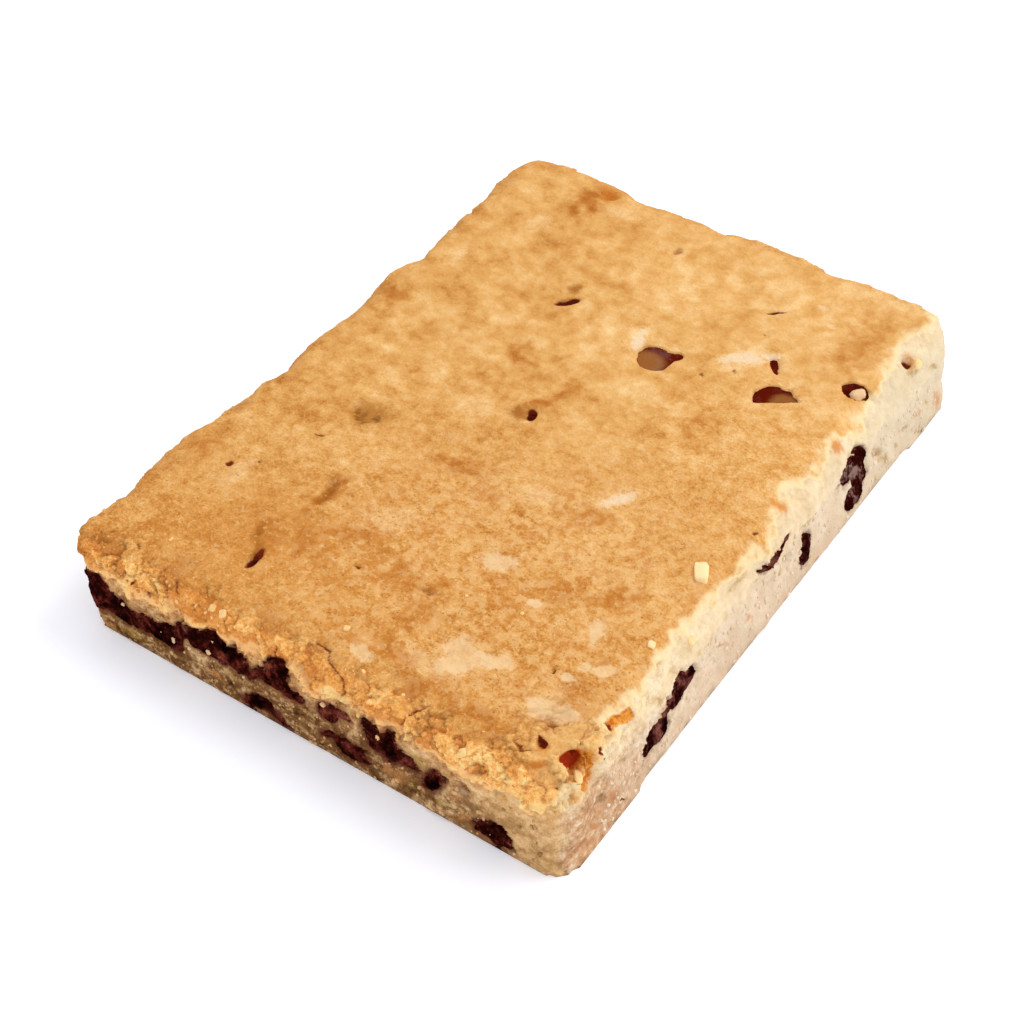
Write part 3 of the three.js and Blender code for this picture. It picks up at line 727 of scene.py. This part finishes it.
# What the chocolate reads: how each chip looks, how near its rim a point is, and how far from the glint
for node, chip in chip_pieces.items():
    face, number = node.split("_")[1:]
    bloom_and_sheen, warm_glint = CHIP_LOOKS.get(f"{face}_{number}", CHIP_LOOKS.get(face, PLAIN_CHIP))
    chip_points = points_of(chip)
    store(chip, "bloom_and_sheen", np.full(len(chip_points), bloom_and_sheen))
    store(chip, "warm_glint", np.full(len(chip_points), warm_glint))
    from_cake = np.array([cake_tree.find_nearest(Vector(p))[3] for p in chip_points])
    store(chip, "rim", 1 - np.minimum(from_cake / CHIP_RIM_WIDE, 1))
    at_x, at_y, turned = CHIP_GLINTS.get(node, (0, 0, 1))
    from_glint = np.hypot(chip_points[:, 0] - SHIFT_X - at_x, chip_points[:, 1] - SHIFT_Y - at_y) / turned
    store(chip, "shade", ease(from_glint, 0.35, 1.1))
    pick_only(chip)
    bpy.ops.object.shade_smooth()


# Crumbs: many small irregular lumps, joined in one mesh of each kind

def ball_form(subdivisions):
    bpy.ops.mesh.primitive_ico_sphere_add(subdivisions=subdivisions, radius=1)
    ball = bpy.context.object
    form = np.array([v.co for v in ball.data.vertices])
    faces = [tuple(p.vertices) for p in ball.data.polygons]
    bpy.ops.object.delete()
    return form, faces


def surface_at(face, along, height):
    """The cake's surface and outward normal at a place on one of its faces."""
    out = FACES[face]["out"]
    if face == "top":
        start = Vector((along + SHIFT_X, height + SHIFT_Y, RAY_ABOVE))
    elif out[1]:
        start = Vector((along + SHIFT_X, RAY_BESIDE * out[1], height))
    else:
        start = Vector((RAY_BESIDE * out[0], along + SHIFT_Y, height))
    hit = cake_tree.ray_cast(start, -Vector(out))
    return hit[0], hit[1]


def facing(normal, turn):
    """A turn that lays a form's flat side on a surface, its length along +Y before the last turn."""
    side = Vector((0, 1, 0)).cross(normal)
    if side.length < 0.5:
        side = Vector((1, 0, 0))
    side.normalize()
    ahead = normal.cross(side)
    basis = Matrix((side, ahead, normal)).transposed()
    return basis @ Matrix.Rotation(turn, 3, "Z")


# No crumb reaches lower than this
LOWEST_CRUMB_Z = 0.02


class Scatter:
    """Gathers small lumps into one mesh."""

    def __init__(self, name):
        self.name = name
        self.points = []
        self.faces = []
        self.tones = []

    def add(self, form, faces, place, turn, size, tone):
        start = len(self.points)
        for p in form:
            point = place + turn @ Vector([c * s for c, s in zip(p, size)])
            point.z = max(point.z, LOWEST_CRUMB_Z)
            self.points.append(point * MM)
            self.tones.append(tone)
        self.faces += [tuple(start + i for i in f) for f in faces]

    def build(self):
        mesh = bpy.data.meshes.new(self.name)
        mesh.from_pydata(self.points, [], self.faces)
        obj = bpy.data.objects.new(self.name, mesh)
        bpy.context.collection.objects.link(obj)
        store(obj, "tone", self.tones)
        pick_only(obj)
        bpy.ops.object.shade_smooth()
        return obj


GRAIN = ball_form(1)
CRUMB = ball_form(3)

# Grains on the cuts: how many, how far from the middle of the cut, and between which heights
GRAINS = {"front": (280, 35.5), "right": (380, 44), "back": (220, 35.5), "left": (300, 44)}
GRAINS_FROM_Z = 0.3
GRAINS_TO_Z = 7.4
grains = Scatter("crumb_grains")
for face, (count, limit) in GRAINS.items():
    for _ in range(count):
        along = RNG.uniform(-limit, limit)
        place, normal = surface_at(face, along, RNG.uniform(GRAINS_FROM_Z, GRAINS_TO_Z))
        if place is None or chip_tree.find_nearest(place, GRAINS_CLEAR_OF_CHIPS)[0] is not None:
            continue
        r = RNG.uniform(0.1, 0.24) + 0.22 * RNG.random() ** 4
        form = GRAIN[0] * (1 + 0.3 * lumpy(GRAIN[0], 0.9, RNG.uniform(0, 90)))[:, None]
        size = (r * RNG.uniform(0.8, 1.5), r, r * RNG.uniform(0.4, 0.7))
        # Grains on the front cut take the darker tones, partly painted shade like the front cut itself,
        # and the others take the paler tones, partly painted light
        tone = RNG.uniform(0.05, 0.45) if face == "front" else RNG.uniform(0.5, 0.9)
        grains.add(form, GRAIN[1], place, facing(normal, RNG.uniform(0, math.tau)), size, tone)

# Broken crust lies as small grains along the rims, thickest along the front and clear of the hollows.
# Each band runs along a line, and reaches from below it to above it.
RIM_Z = 10.4
CLEAR_OF_HOLLOWS = 1.4
RIM_GRAINS = [
    {"count": 480, "from": (-36.5, -49.8), "to": (31, -49.8), "out": (0, -1, 1), "reach": (-2.6, 3.6)},
    {"count": 90, "from": (-35.6, -48), "to": (-35.6, 48), "out": (-1, 0, 1), "reach": (-2, 1)},
    {"count": 70, "from": (-34, 50.4), "to": (34, 50.4), "out": (0, 1, 1), "reach": (-2, 1)},
]
rim_crumbs = Scatter("rim_crumbs")
for band in RIM_GRAINS:
    out = Vector(band["out"]).normalized()
    start = Vector((*band["from"], RIM_Z))
    run = Vector((*band["to"], RIM_Z)) - start
    across = run.normalized().cross(out)
    if across.z < 0:
        across = -across
    for _ in range(band["count"]):
        near = RNG.triangular(band["reach"][0], band["reach"][1], 0.2)
        aim = start + run * RNG.random() + across * near + Vector((SHIFT_X, SHIFT_Y, 0))
        place, normal = cake_tree.ray_cast(aim + RAY_ABOVE * out, -out)[:2]
        if place is None or chip_tree.find_nearest(place, RIM_CLEAR_OF_CHIPS)[0] is not None:
            continue
        flat_x = np.array([place.x - SHIFT_X])
        flat_y = np.array([place.y - SHIFT_Y])
        if min(line_distance(flat_x, flat_y, spot["course"])[0] for spot in HOLLOWS) < CLEAR_OF_HOLLOWS:
            continue
        r = 0.09 + 0.25 * RNG.random() ** 3.5
        form = GRAIN[0] * (1 + 0.5 * lumpy(GRAIN[0], 0.9, RNG.uniform(0, 90)))[:, None]
        size = (r * RNG.uniform(0.9, 1.9), r, r * RNG.uniform(0.3, 0.6))
        turn = facing(normal, RNG.uniform(0, math.tau))
        rim_crumbs.add(form, GRAIN[1], place, turn, size, RNG.random())

pale_crumbs = Scatter("pale_crumbs")


def add_crumb(place, turn, size, blocky, tone, uneven=0.35):
    """One larger pale crumb: a ball pulled into a rough block."""
    form = np.sign(CRUMB[0]) * np.abs(CRUMB[0]) ** (1 - blocky)
    form = form * (1 + uneven * lumpy(CRUMB[0], 0.6, RNG.uniform(0, 90)))[:, None]
    pale_crumbs.add(form, CRUMB[1], place, turn, size, tone)


for at_x, at_y, wide, long, turn, tone in LOOSE_CRUMBS:
    place, normal = surface_at("top", at_x, at_y)
    size = (wide / 2.3, long / 2.3, 0.3 * min(wide, long))
    add_crumb(place, facing(normal, math.radians(turn)), size, 0.45, tone, 0.2)
at_x, at_y, wide, long, turn = CRUMB_IN_CHIP
place, normal = surface_at("top", at_x, at_y)
place = place + Vector((0, 0, 0.6 * POCKET_DEEP))
add_crumb(place, facing(normal, math.radians(turn)), (wide / 2, long / 2, 0.7), 0.0, 0.2, 0.3)
for at_x, at_z, width in STUCK_CRUMBS:
    place, normal = surface_at("front", at_x, at_z)
    place = place + Vector((0, -0.8 * POCKET_DEEP, 0))
    turn = facing(Vector((0, -1, 0)), at_x)
    add_crumb(place, turn, (0.5 * width, 0.36 * width, 0.3 * width), 0.25, RNG.uniform(0.1, 0.4))

grain_piece = grains.build()
pale_piece = pale_crumbs.build()
rim_piece = rim_crumbs.build()


# Materials

# How much light reaches each face, and how much brighter the crust is painted on the shaded front
TOP_LIGHT = 1.1
SIDE_LIGHT = 1.12
FRONT_LIGHT = 0.96
FRONT_BRIGHTER = 1.45


def seen(r, g, b, light=1.0):
    """The base colour that looks like this screen colour under light of the given strength."""
    straight = [c / 255 / 12.92 if c <= 10 else ((c / 255 + 0.055) / 1.055) ** 2.4 for c in (r, g, b)]
    return (*[min(c / light, 0.95) for c in straight], 1)


class Nodes:
    """A node tree, with short ways to add to it."""

    def __init__(self, tree):
        self.tree = tree
        coordinates = self.node("ShaderNodeTexCoord")
        scaled = self.node("ShaderNodeVectorMath", operation="SCALE")
        scaled.inputs["Scale"].default_value = 1 / MM
        self.link(coordinates.outputs["Object"], scaled.inputs[0])
        self.place = scaled.outputs[0]

    def node(self, kind, **settings):
        node = self.tree.nodes.new(kind)
        for key, value in settings.items():
            setattr(node, key, value)
        return node

    def link(self, a, b):
        self.tree.links.new(a, b)

    def put(self, socket, value):
        if isinstance(value, bpy.types.NodeSocket):
            self.link(value, socket)
        else:
            socket.default_value = value

    def wavered(self, size, reach):
        """The place in millimetres, pushed about by soft noise."""
        node = self.node("ShaderNodeTexNoise")
        self.link(self.place, node.inputs["Vector"])
        node.inputs["Scale"].default_value = 1 / size
        node.inputs["Detail"].default_value = 2
        push = self.node("ShaderNodeVectorMath", operation="MULTIPLY_ADD")
        self.link(node.outputs["Color"], push.inputs[0])
        push.inputs[1].default_value = (2 * reach, 2 * reach, 2 * reach)
        self.link(self.place, push.inputs[2])
        return push.outputs[0]

    def noise(self, size, detail=3.0, rough=0.55, place=None):
        node = self.node("ShaderNodeTexNoise")
        self.link(place or self.place, node.inputs["Vector"])
        self.put(node.inputs["Scale"], size if isinstance(size, bpy.types.NodeSocket) else 1 / size)
        node.inputs["Detail"].default_value = detail
        node.inputs["Roughness"].default_value = rough
        return node.outputs["Fac"]

    def layered(self):
        """The place in millimetres, drawn out along the level."""
        flat = self.node("ShaderNodeVectorMath", operation="MULTIPLY")
        self.link(self.place, flat.inputs[0])
        flat.inputs[1].default_value = (0.3, 0.3, 1)
        return flat.outputs[0]

    def mask(self, name):
        return self.node("ShaderNodeAttribute", attribute_name=name).outputs["Fac"]

    def math(self, operation, a, b=0.0):
        node = self.node("ShaderNodeMath", operation=operation)
        self.put(node.inputs[0], a)
        self.put(node.inputs[1], b)
        return node.outputs[0]

    def times(self, a, b):
        return self.math("MULTIPLY", a, b)

    def about(self, value, strength, middle=0.5):
        """How far a value stands from its middle, times a strength."""
        return self.times(self.math("SUBTRACT", value, middle), strength)

    def total(self, *values):
        result = values[0]
        for value in values[1:]:
            result = self.math("ADD", result, value)
        return result

    def frayed(self, name, *grains):
        """A mask with grain added to it. Each grain comes with its strength."""
        return self.total(self.mask(name), *[self.about(grain, strength) for grain, strength in grains])

    def patch(self, name, low, high, *grains):
        """A mask with a grainy edge between two limits."""
        return self.spread(self.frayed(name, *grains), low, high)

    def spread(self, value, low, high, to_low=0.0, to_high=1.0):
        """0 to 1, or what else is given, as a value goes from its low to its high limit."""
        node = self.node("ShaderNodeMapRange", interpolation_type="SMOOTHSTEP")
        self.put(node.inputs["Value"], value)
        node.inputs["From Min"].default_value = low
        node.inputs["From Max"].default_value = high
        node.inputs["To Min"].default_value = to_low
        node.inputs["To Max"].default_value = to_high
        return node.outputs["Result"]

    def mix(self, share, a, b):
        node = self.node("ShaderNodeMix", data_type="RGBA")
        self.put(node.inputs["Factor"], share)
        self.put(node.inputs[6], a)
        self.put(node.inputs[7], b)
        return node.outputs[2]

    def brighten(self, colour, strength):
        """The colour times a strength, no brighter than white."""
        node = self.node("ShaderNodeMix", data_type="RGBA", blend_type="MULTIPLY", clamp_result=True)
        node.inputs["Factor"].default_value = 1
        self.link(colour, node.inputs[6])
        self.link(strength, node.inputs[7])
        return node.outputs[2]

    def ramp(self, value, stops):
        node = self.node("ShaderNodeValToRGB")
        self.link(value, node.inputs["Fac"])
        elements = node.color_ramp.elements
        while len(elements) < len(stops):
            elements.new(0.5)
        for element, (position, colour) in zip(elements, stops):
            element.position = position
            element.color = colour
        return node.outputs["Color"]

    def grain(self, medium, fine):
        """Two sizes of shared baked grain, as values."""
        node = self.node("ShaderNodeGroup", node_tree=GRAIN_GROUP)
        node.inputs["Medium Scale"].default_value = 1 / medium
        node.inputs["Fine Scale"].default_value = 1 / fine
        return node.outputs["Medium"], node.outputs["Fine"]

    def pebbles(self, size):
        """Rounded grains that lie close together: how high each stands, and a tone for each."""
        node = self.node("ShaderNodeTexVoronoi")
        self.link(self.wavered(0.7 * size, 0.3 * size), node.inputs["Vector"])
        node.inputs["Scale"].default_value = 1 / size
        tone = self.node("ShaderNodeSeparateColor")
        self.link(node.outputs["Color"], tone.inputs["Color"])
        return self.math("SUBTRACT", 1.0, node.outputs["Distance"]), tone.outputs["Red"]


def grain_group():
    tree = bpy.data.node_groups.new("baked_grain", "ShaderNodeTree")
    for name in ("Medium Scale", "Fine Scale"):
        tree.interface.new_socket(name, in_out="INPUT", socket_type="NodeSocketFloat")
    for name in ("Medium", "Fine"):
        tree.interface.new_socket(name, in_out="OUTPUT", socket_type="NodeSocketFloat")
    g = Nodes(tree)
    start = g.node("NodeGroupInput")
    end = g.node("NodeGroupOutput")
    g.link(g.noise(start.outputs["Medium Scale"], 4.0, 0.6), end.inputs["Medium"])
    g.link(g.noise(start.outputs["Fine Scale"], 3.0, 0.6), end.inputs["Fine"])
    return tree


GRAIN_GROUP = grain_group()


def new_material(name, rough, specular):
    material = bpy.data.materials.new(name)
    material.use_nodes = True
    shader = material.node_tree.nodes["Principled BSDF"]
    shader.inputs["Roughness"].default_value = rough
    shader.inputs["Specular IOR Level"].default_value = specular
    return material, Nodes(material.node_tree), shader


def bump(n, shader, height, strength, depth):
    node = n.node("ShaderNodeBump")
    node.inputs["Strength"].default_value = strength
    node.inputs["Distance"].default_value = depth * MM
    n.link(height, node.inputs["Height"])
    n.link(node.outputs["Normal"], shader.inputs["Normal"])


def top(r, g, b):
    return seen(r, g, b, TOP_LIGHT)


def right(r, g, b):
    return seen(r, g, b, SIDE_LIGHT)


def front(r, g, b):
    return seen(r, g, b, FRONT_LIGHT)


def crust_colour(n, medium, fine, close, grit):
    waves = n.wavered(2.0, 0.8)
    mottled = n.mask("mottled")
    grainy = n.mask("grainy")
    grained = n.total(n.about(fine, 1.2), n.about(grit, 0.8))
    browned = n.patch("browned", 0.12, 1.15, (medium, 1.4), (fine, 0.8))
    clouds = n.patch("clouds", 0.3, 0.9, (medium, 0.9), (fine, 0.6))
    tone = n.total(
        0.53,
        n.times(grainy, -0.09),
        n.about(n.noise(10.0, 4.0, 0.6), 0.7),
        n.about(n.noise(4.5, 3.0, 0.5, waves), 0.5),
        n.times(n.about(n.noise(2.2, 4.0, 0.55, waves), 0.7), n.total(1.0, n.times(grainy, 0.3))),
        n.times(n.about(close, 1.25), n.total(0.2, n.times(grainy, 0.8))),
        n.times(grained, n.total(0.2, n.times(grainy, 0.8))),
        # Painted light: the crust grows lighter towards the right
        n.about(n.mask("lit_right_side"), 0.14),
        n.times(browned, -0.3),
        n.times(clouds, 0.14),
    )
    colour = n.ramp(tone, [
        (0.1, top(184, 112, 42)),
        (0.38, top(218, 158, 84)),
        (0.56, top(232, 178, 107)),
        (0.9, top(252, 213, 152)),
    ])
    colour = n.mix(n.times(n.mask("toasted"), 0.3), colour, top(212, 142, 66))
    baked = n.spread(n.noise(4.5, 5.0, 0.7, waves), 0.46, 0.64)
    colour = n.mix(n.times(baked, n.times(mottled, 0.75)), colour, top(196, 116, 38))
    lumps = n.spread(n.noise(1.5, 3.0, 0.6, n.wavered(1.2, 0.5)), 0.48, 0.6)
    colour = n.mix(n.times(lumps, n.times(mottled, 0.6)), colour, top(245, 200, 136))
    colour = n.mix(n.times(grainy, 0.28), colour, top(219, 146, 64))
    colour = n.mix(n.times(browned, 0.45), colour, top(188, 106, 28))
    colour = n.mix(n.times(clouds, 0.3), colour, top(246, 207, 152))
    frosted = n.patch("frosted", 0.25, 0.9, (close, 0.9), (fine, 0.6))
    colour = n.mix(n.times(frosted, 0.8), colour, top(243, 217, 182))
    dents = n.patch("dents", 0.3, 0.9, (medium, 0.5), (fine, 0.7))
    colour = n.mix(n.times(dents, 0.85), colour, top(164, 96, 24))
    olive_dent = n.patch("olive_dent", 0.3, 0.8, (close, 0.8), (grit, 0.6))
    colour = n.mix(n.times(olive_dent, 0.75), colour, top(172, 104, 24))
    colour = n.mix(n.times(n.mask("olive_speck"), 0.7), colour, top(120, 70, 12))
    granules = n.spread(n.noise(0.6, 2.0, 0.5, waves), 0.6, 0.68)
    colour = n.mix(n.times(granules, n.total(0.05, n.times(grainy, 0.35))), colour, top(248, 208, 146))
    specks = n.spread(n.noise(0.45, 2.0, 0.5), 0.64, 0.72)
    colour = n.mix(n.times(specks, n.total(0.12, n.times(grainy, 0.5))), colour, top(150, 82, 30))
    # Paler at the right front corner, partly as painted light
    pale_and_lit_corner = n.mask("pale_and_lit_corner")
    flake_tone = n.total(n.frayed("flake_tone", (fine, 1.2), (grit, 0.8)), n.times(pale_and_lit_corner, 0.2))
    flake = n.ramp(flake_tone, [
        (0.05, top(184, 110, 44)),
        (0.35, top(207, 139, 66)),
        (0.6, top(224, 161, 84)),
        (0.95, top(248, 203, 135)),
    ])
    colour = n.mix(n.times(n.mask("flaky"), 0.75), colour, flake)
    # More pale crust and painted light at the right front corner
    pale_and_lit_corner = n.patch("pale_and_lit_corner", 0.3, 1.1, (close, 1.6), (fine, 0.6))
    colour = n.mix(n.times(pale_and_lit_corner, 0.35), colour, top(252, 208, 138))
    peeled = n.patch("peeled", 0.34, 0.62, (close, 0.6), (fine, 0.2), (grit, 0.12))
    colour = n.mix(n.times(peeled, n.spread(medium, 0.3, 0.65, 0.55, 0.9)), colour, top(244, 206, 154))
    broken = n.patch("broken_edge", 0.3, 1.0, (close, 0.9), (grit, 0.6))
    colour = n.mix(n.times(broken, 0.45), colour, top(244, 204, 142))
    colour = n.brighten(colour, n.spread(n.mask("shaded"), 0.0, 1.0, 1.0, FRONT_BRIGHTER))
    # Painted shade in the crevices
    colour = n.mix(n.times(n.mask("shaded_crevice"), 0.6), colour, top(146, 86, 36))
    # The crust fades to the pale right rim, partly pale crumb and partly a painted highlight
    fade = n.patch("rim_fade_and_highlight", 0.2, 1.0, (medium, 0.6), (close, 0.4))
    return n.mix(n.times(fade, 0.9), colour, top(254, 230, 178))


# The crumb of the right cut, and in part of the hidden cuts: paler partly as painted light
def lit_pale_crumb_colour(n, grained):
    colour = n.ramp(grained, [
        (0.08, right(176, 138, 100)),
        (0.34, right(224, 196, 162)),
        (0.58, right(240, 218, 188)),
        (0.9, right(254, 247, 230)),
    ])
    high = n.ramp(grained, [
        (0.12, right(206, 168, 114)),
        (0.4, right(236, 208, 164)),
        (0.7, right(252, 230, 192)),
    ])
    colour = n.mix(n.spread(n.mask("low"), 0.5, 0.0), colour, high)
    colour = n.mix(n.times(n.mask("low"), 0.25), colour, right(222, 194, 162))
    colour = n.mix(n.times(n.mask("lowest"), 0.45), colour, right(206, 172, 140))
    colour = n.mix(n.times(n.mask("far_right"), 0.4), colour, right(224, 212, 180))
    return n.mix(n.times(n.mask("near_corner"), 0.8), colour, n.ramp(grained, [
        (0.15, right(160, 104, 62)),
        (0.5, right(206, 152, 102)),
        (0.85, right(246, 216, 176)),
    ]))


# The crumb of the front cut: browner, and darker as painted shade
def shaded_front_crumb_colour(n, grained):
    # Towards the right corner the front cut is painted lighter, as painted light
    tone = n.total(grained, n.times(n.mask("front_right"), 0.12), n.about(n.noise(3.0, 3.0), 0.7))
    high = n.ramp(tone, [
        (0.1, front(136, 84, 42)),
        (0.48, front(216, 163, 106)),
        (0.9, front(254, 218, 166)),
    ])
    low = n.ramp(tone, [
        (0.1, front(66, 36, 14)),
        (0.48, front(124, 83, 42)),
        (0.9, front(222, 184, 134)),
    ])
    colour = n.mix(n.mask("low"), high, low)
    olive = n.spread(n.noise(4.0, 3.0), 0.52, 0.68)
    colour = n.mix(n.times(olive, 0.35), colour, front(136, 106, 58))
    # Painted light towards the right front corner
    return n.mix(n.times(n.mask("front_right"), 0.4), colour, front(226, 178, 116))


def cake_finish():
    material, n, shader = new_material("baked_cake", 0.85, 0.1)
    medium, fine = n.grain(2.2, 0.35)
    close, grit = n.grain(1.0, 0.22)
    lump, lump_tone = n.pebbles(0.75)
    wall_grain = n.mask("wall_grain")
    streaks = n.noise(0.7, 4.0, 0.6, n.layered())
    rough = n.total(
        n.about(close, 0.9),
        n.about(grit, 0.7),
        n.about(lump, 0.2, 0.55),
        n.about(lump_tone, 0.1),
        n.about(streaks, 0.9),
    )
    grained = n.total(0.5, n.about(medium, 0.9), n.times(rough, wall_grain))
    pale = lit_pale_crumb_colour(n, grained)
    # The front cut gets the browner copy of the crumb, which is partly painted shade; the right cut keeps
    # the paler copy, which is partly painted light
    crumb = n.mix(n.mask("shaded_browner_cut"), pale, shaded_front_crumb_colour(n, grained))
    tan = n.patch("tan_mark", 0.4, 1.0, (close, 1.1), (grit, 0.5))
    crumb = n.mix(n.times(tan, 0.7), crumb, seen(190, 124, 72))
    olive = n.patch("olive_mark", 0.4, 1.0, (close, 1.1), (grit, 0.5))
    crumb = n.mix(n.times(olive, 0.75), crumb, seen(172, 140, 70))
    edge = n.patch("crust", 0.25, 0.75, (fine, 0.8))
    colour = n.mix(edge, crumb, crust_colour(n, medium, fine, close, grit))
    smear = n.frayed("stain", (close, 0.9), (grit, 0.5), (streaks, 1.0))
    colour = n.mix(n.times(n.spread(smear, 0.45, 1.0), 0.8), colour, seen(112, 56, 36))
    colour = n.mix(n.spread(smear, 0.95, 1.1), colour, seen(44, 12, 8))
    orange = n.patch("orange", 0.35, 0.95, (close, 0.9), (grit, 0.4))
    colour = n.mix(n.times(orange, 0.8), colour, top(213, 126, 34))
    hollow = n.patch("hollow", 0.15, 0.75, (close, 1.2), (grit, 0.8))
    uneven = n.spread(n.total(close, n.about(fine, 0.8)), 0.35, 0.65)
    colour = n.mix(hollow, colour, n.mix(uneven, top(196, 98, 14), top(232, 158, 64)))
    red = n.patch("hollow_red", 0.3, 0.9, (close, 0.9))
    colour = n.mix(n.times(red, 0.95), colour, top(162, 36, 4))
    colour = n.mix(n.spread(n.mask("dark"), 0.15, 0.8), colour, seen(112, 34, 14))
    marks = n.patch("dark_mark", 0.35, 0.7, (grit, 0.6))
    colour = n.mix(marks, colour, seen(104, 36, 22))
    n.link(colour, shader.inputs["Base Color"])
    height = n.total(n.times(fine, 0.5), n.times(close, 0.9), n.times(n.times(lump, wall_grain), 0.4))
    bump(n, shader, height, 0.6, 0.4)
    return material


def chocolate_finish():
    material, n, shader = new_material("dark_chocolate", 0.6, 0.0)
    medium, fine = n.grain(2.6, 0.35)
    tone = n.total(0.42, n.about(medium, 2.2), n.about(fine, 0.8))
    colour = n.ramp(tone, [
        (0.15, seen(12, 3, 3)),
        (0.42, seen(42, 10, 7)),
        (0.66, seen(90, 27, 16)),
        (0.95, seen(138, 70, 50)),
    ])
    red = n.patch("rim", 0.2, 0.9, (medium, 1.2))
    colour = n.mix(n.times(red, 0.5), colour, seen(100, 34, 26))
    # A painted highlight of warm brown at the glint turns to painted shade of dark red away from it
    shade = n.patch("shade", 0.1, 0.9, (medium, 0.9), (fine, 0.6))
    colour = n.mix(n.mask("warm_glint"), colour, n.mix(shade, top(152, 94, 46), top(96, 20, 4)))
    # Dull grey bloom, partly a painted sheen
    bloom_and_sheen = n.times(n.mask("bloom_and_sheen"), n.spread(tone, 0.4, 0.75))
    colour = n.mix(bloom_and_sheen, colour, seen(138, 118, 110))
    crumbs = n.patch("rim", 1.05, 1.3, (fine, 2.2), (medium, 1.4))
    fewer_on_top = n.spread(n.mask("warm_glint"), 0.0, 0.5, 0.8, 0.1)
    colour = n.mix(n.times(crumbs, fewer_on_top), colour, seen(168, 112, 74))
    n.link(colour, shader.inputs["Base Color"])
    bump(n, shader, tone, 0.45, 0.25)
    return material


def grain_finish(name, stops):
    material, n, shader = new_material(name, 0.85, 0.15)
    medium, fine = n.grain(1.0, 0.3)
    tone = n.total(n.times(n.mask("tone"), 0.8), n.about(fine, 0.5), 0.1)
    n.link(n.ramp(tone, stops), shader.inputs["Base Color"])
    bump(n, shader, n.total(medium, n.times(fine, 0.4)), 0.5, 0.2)
    return material


cake.data.materials.append(cake_finish())
chocolate = chocolate_finish()
for chip in chip_pieces.values():
    chip.data.materials.append(chocolate)
# The darker stops are for grains on the front cut and are partly painted shade; the paler ones are partly
# painted light, as on the right cut
grain_piece.data.materials.append(grain_finish("crumb_grain", [
    (0.1, front(146, 98, 52)),
    (0.45, front(218, 176, 120)),
    (0.55, right(222, 194, 158)),
    (0.9, right(248, 234, 210)),
]))
pale_piece.data.materials.append(grain_finish("pale_crumb", [
    (0.2, seen(222, 186, 146)),
    (0.5, seen(232, 186, 120)),
    (0.72, seen(248, 210, 144)),
    (0.9, seen(250, 222, 168)),
]))
rim_piece.data.materials.append(grain_finish("broken_crust", [
    (0.1, front(204, 136, 66)),
    (0.4, front(224, 162, 90)),
    (0.7, front(234, 178, 106)),
    (0.95, front(248, 206, 142)),
]))

# Each piece rides on the part's one body, and the cake and the chips stand for their solids

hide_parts("crumb")
for node, chip in chip_pieces.items():
    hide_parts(node)
    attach(chip, "root")
for piece in (cake, grain_piece, pale_piece, rim_piece):
    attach(piece, "root")

# White floor, soft sky that is brightest behind and to the right, and the camera

FLOOR = {"size": 3000, "colour": (0.91, 0.925, 0.98, 1), "glow": (0.95, 0.96, 1, 1), "glow_strength": 0.13}
SKY_COLOUR = (0.98, 0.98, 1, 1)
SKY_BRIGHTEST = (0.62, 0.66, 0.42)
SKY_STRENGTH = {"From Min": -0.7, "From Max": 0.9, "To Min": 0.85, "To Max": 1.1}
WINDOW = {"place": (340, 600, 700), "width": 700, "watts": 3.4, "colour": (1, 0.97, 0.92)}
CAMERA_PLACE = (99.10 + SHIFT_X, -153.28 + SHIFT_Y, 174.35)
CAMERA_AIM = (-1.59 + SHIFT_X, -5.84 + SHIFT_Y, 0)
CAMERA_SENSOR = 36
CAMERA_LENS = 65.39
CAMERA_NEAREST = 10

bpy.ops.object.select_all(action="DESELECT")
bpy.ops.mesh.primitive_plane_add(size=FLOOR["size"] * MM, location=(0, 0, 0))
floor = bpy.context.object
floor.name = "floor"
white, _, paper = new_material("white_floor", 0.9, 0.1)
paper.inputs["Base Color"].default_value = FLOOR["colour"]
paper.inputs["Emission Color"].default_value = FLOOR["glow"]
paper.inputs["Emission Strength"].default_value = FLOOR["glow_strength"]
floor.data.materials.append(white)

world = bpy.context.scene.world or bpy.data.worlds.new("soft_sky")
bpy.context.scene.world = world
world.use_nodes = True
sky = world.node_tree.nodes["Background"]
sky.inputs["Color"].default_value = SKY_COLOUR
direction = world.node_tree.nodes.new("ShaderNodeTexCoord")
towards = world.node_tree.nodes.new("ShaderNodeVectorMath")
towards.operation = "DOT_PRODUCT"
towards.inputs[1].default_value = Vector(SKY_BRIGHTEST).normalized()
glow = world.node_tree.nodes.new("ShaderNodeMapRange")
for socket, value in SKY_STRENGTH.items():
    glow.inputs[socket].default_value = value
world.node_tree.links.new(direction.outputs["Generated"], towards.inputs[0])
world.node_tree.links.new(towards.outputs["Value"], glow.inputs["Value"])
world.node_tree.links.new(glow.outputs["Result"], sky.inputs["Strength"])

window = bpy.data.lights.new("window", "AREA")
window.shape = "DISK"
window.size = WINDOW["width"] * MM
window.energy = WINDOW["watts"]
window.color = WINDOW["colour"]
window_place = Vector(WINDOW["place"]) * MM
window_object = bpy.data.objects.new("window", window)
bpy.context.collection.objects.link(window_object)
window_object.location = window_place
window_object.rotation_euler = (-window_place).to_track_quat("-Z", "Y").to_euler()

camera_data = bpy.data.cameras.new("camera")
camera_data.sensor_width = CAMERA_SENSOR
camera_data.lens = CAMERA_LENS
camera_data.clip_start = CAMERA_NEAREST * MM
camera = bpy.data.objects.new("camera", camera_data)
bpy.context.collection.objects.link(camera)
camera.location = Vector(CAMERA_PLACE) * MM
camera.rotation_euler = (Vector(CAMERA_AIM) - Vector(CAMERA_PLACE)).to_track_quat("-Z", "Y").to_euler()
bpy.context.scene.camera = camera
bpy.context.scene.view_settings.view_transform = "Standard"
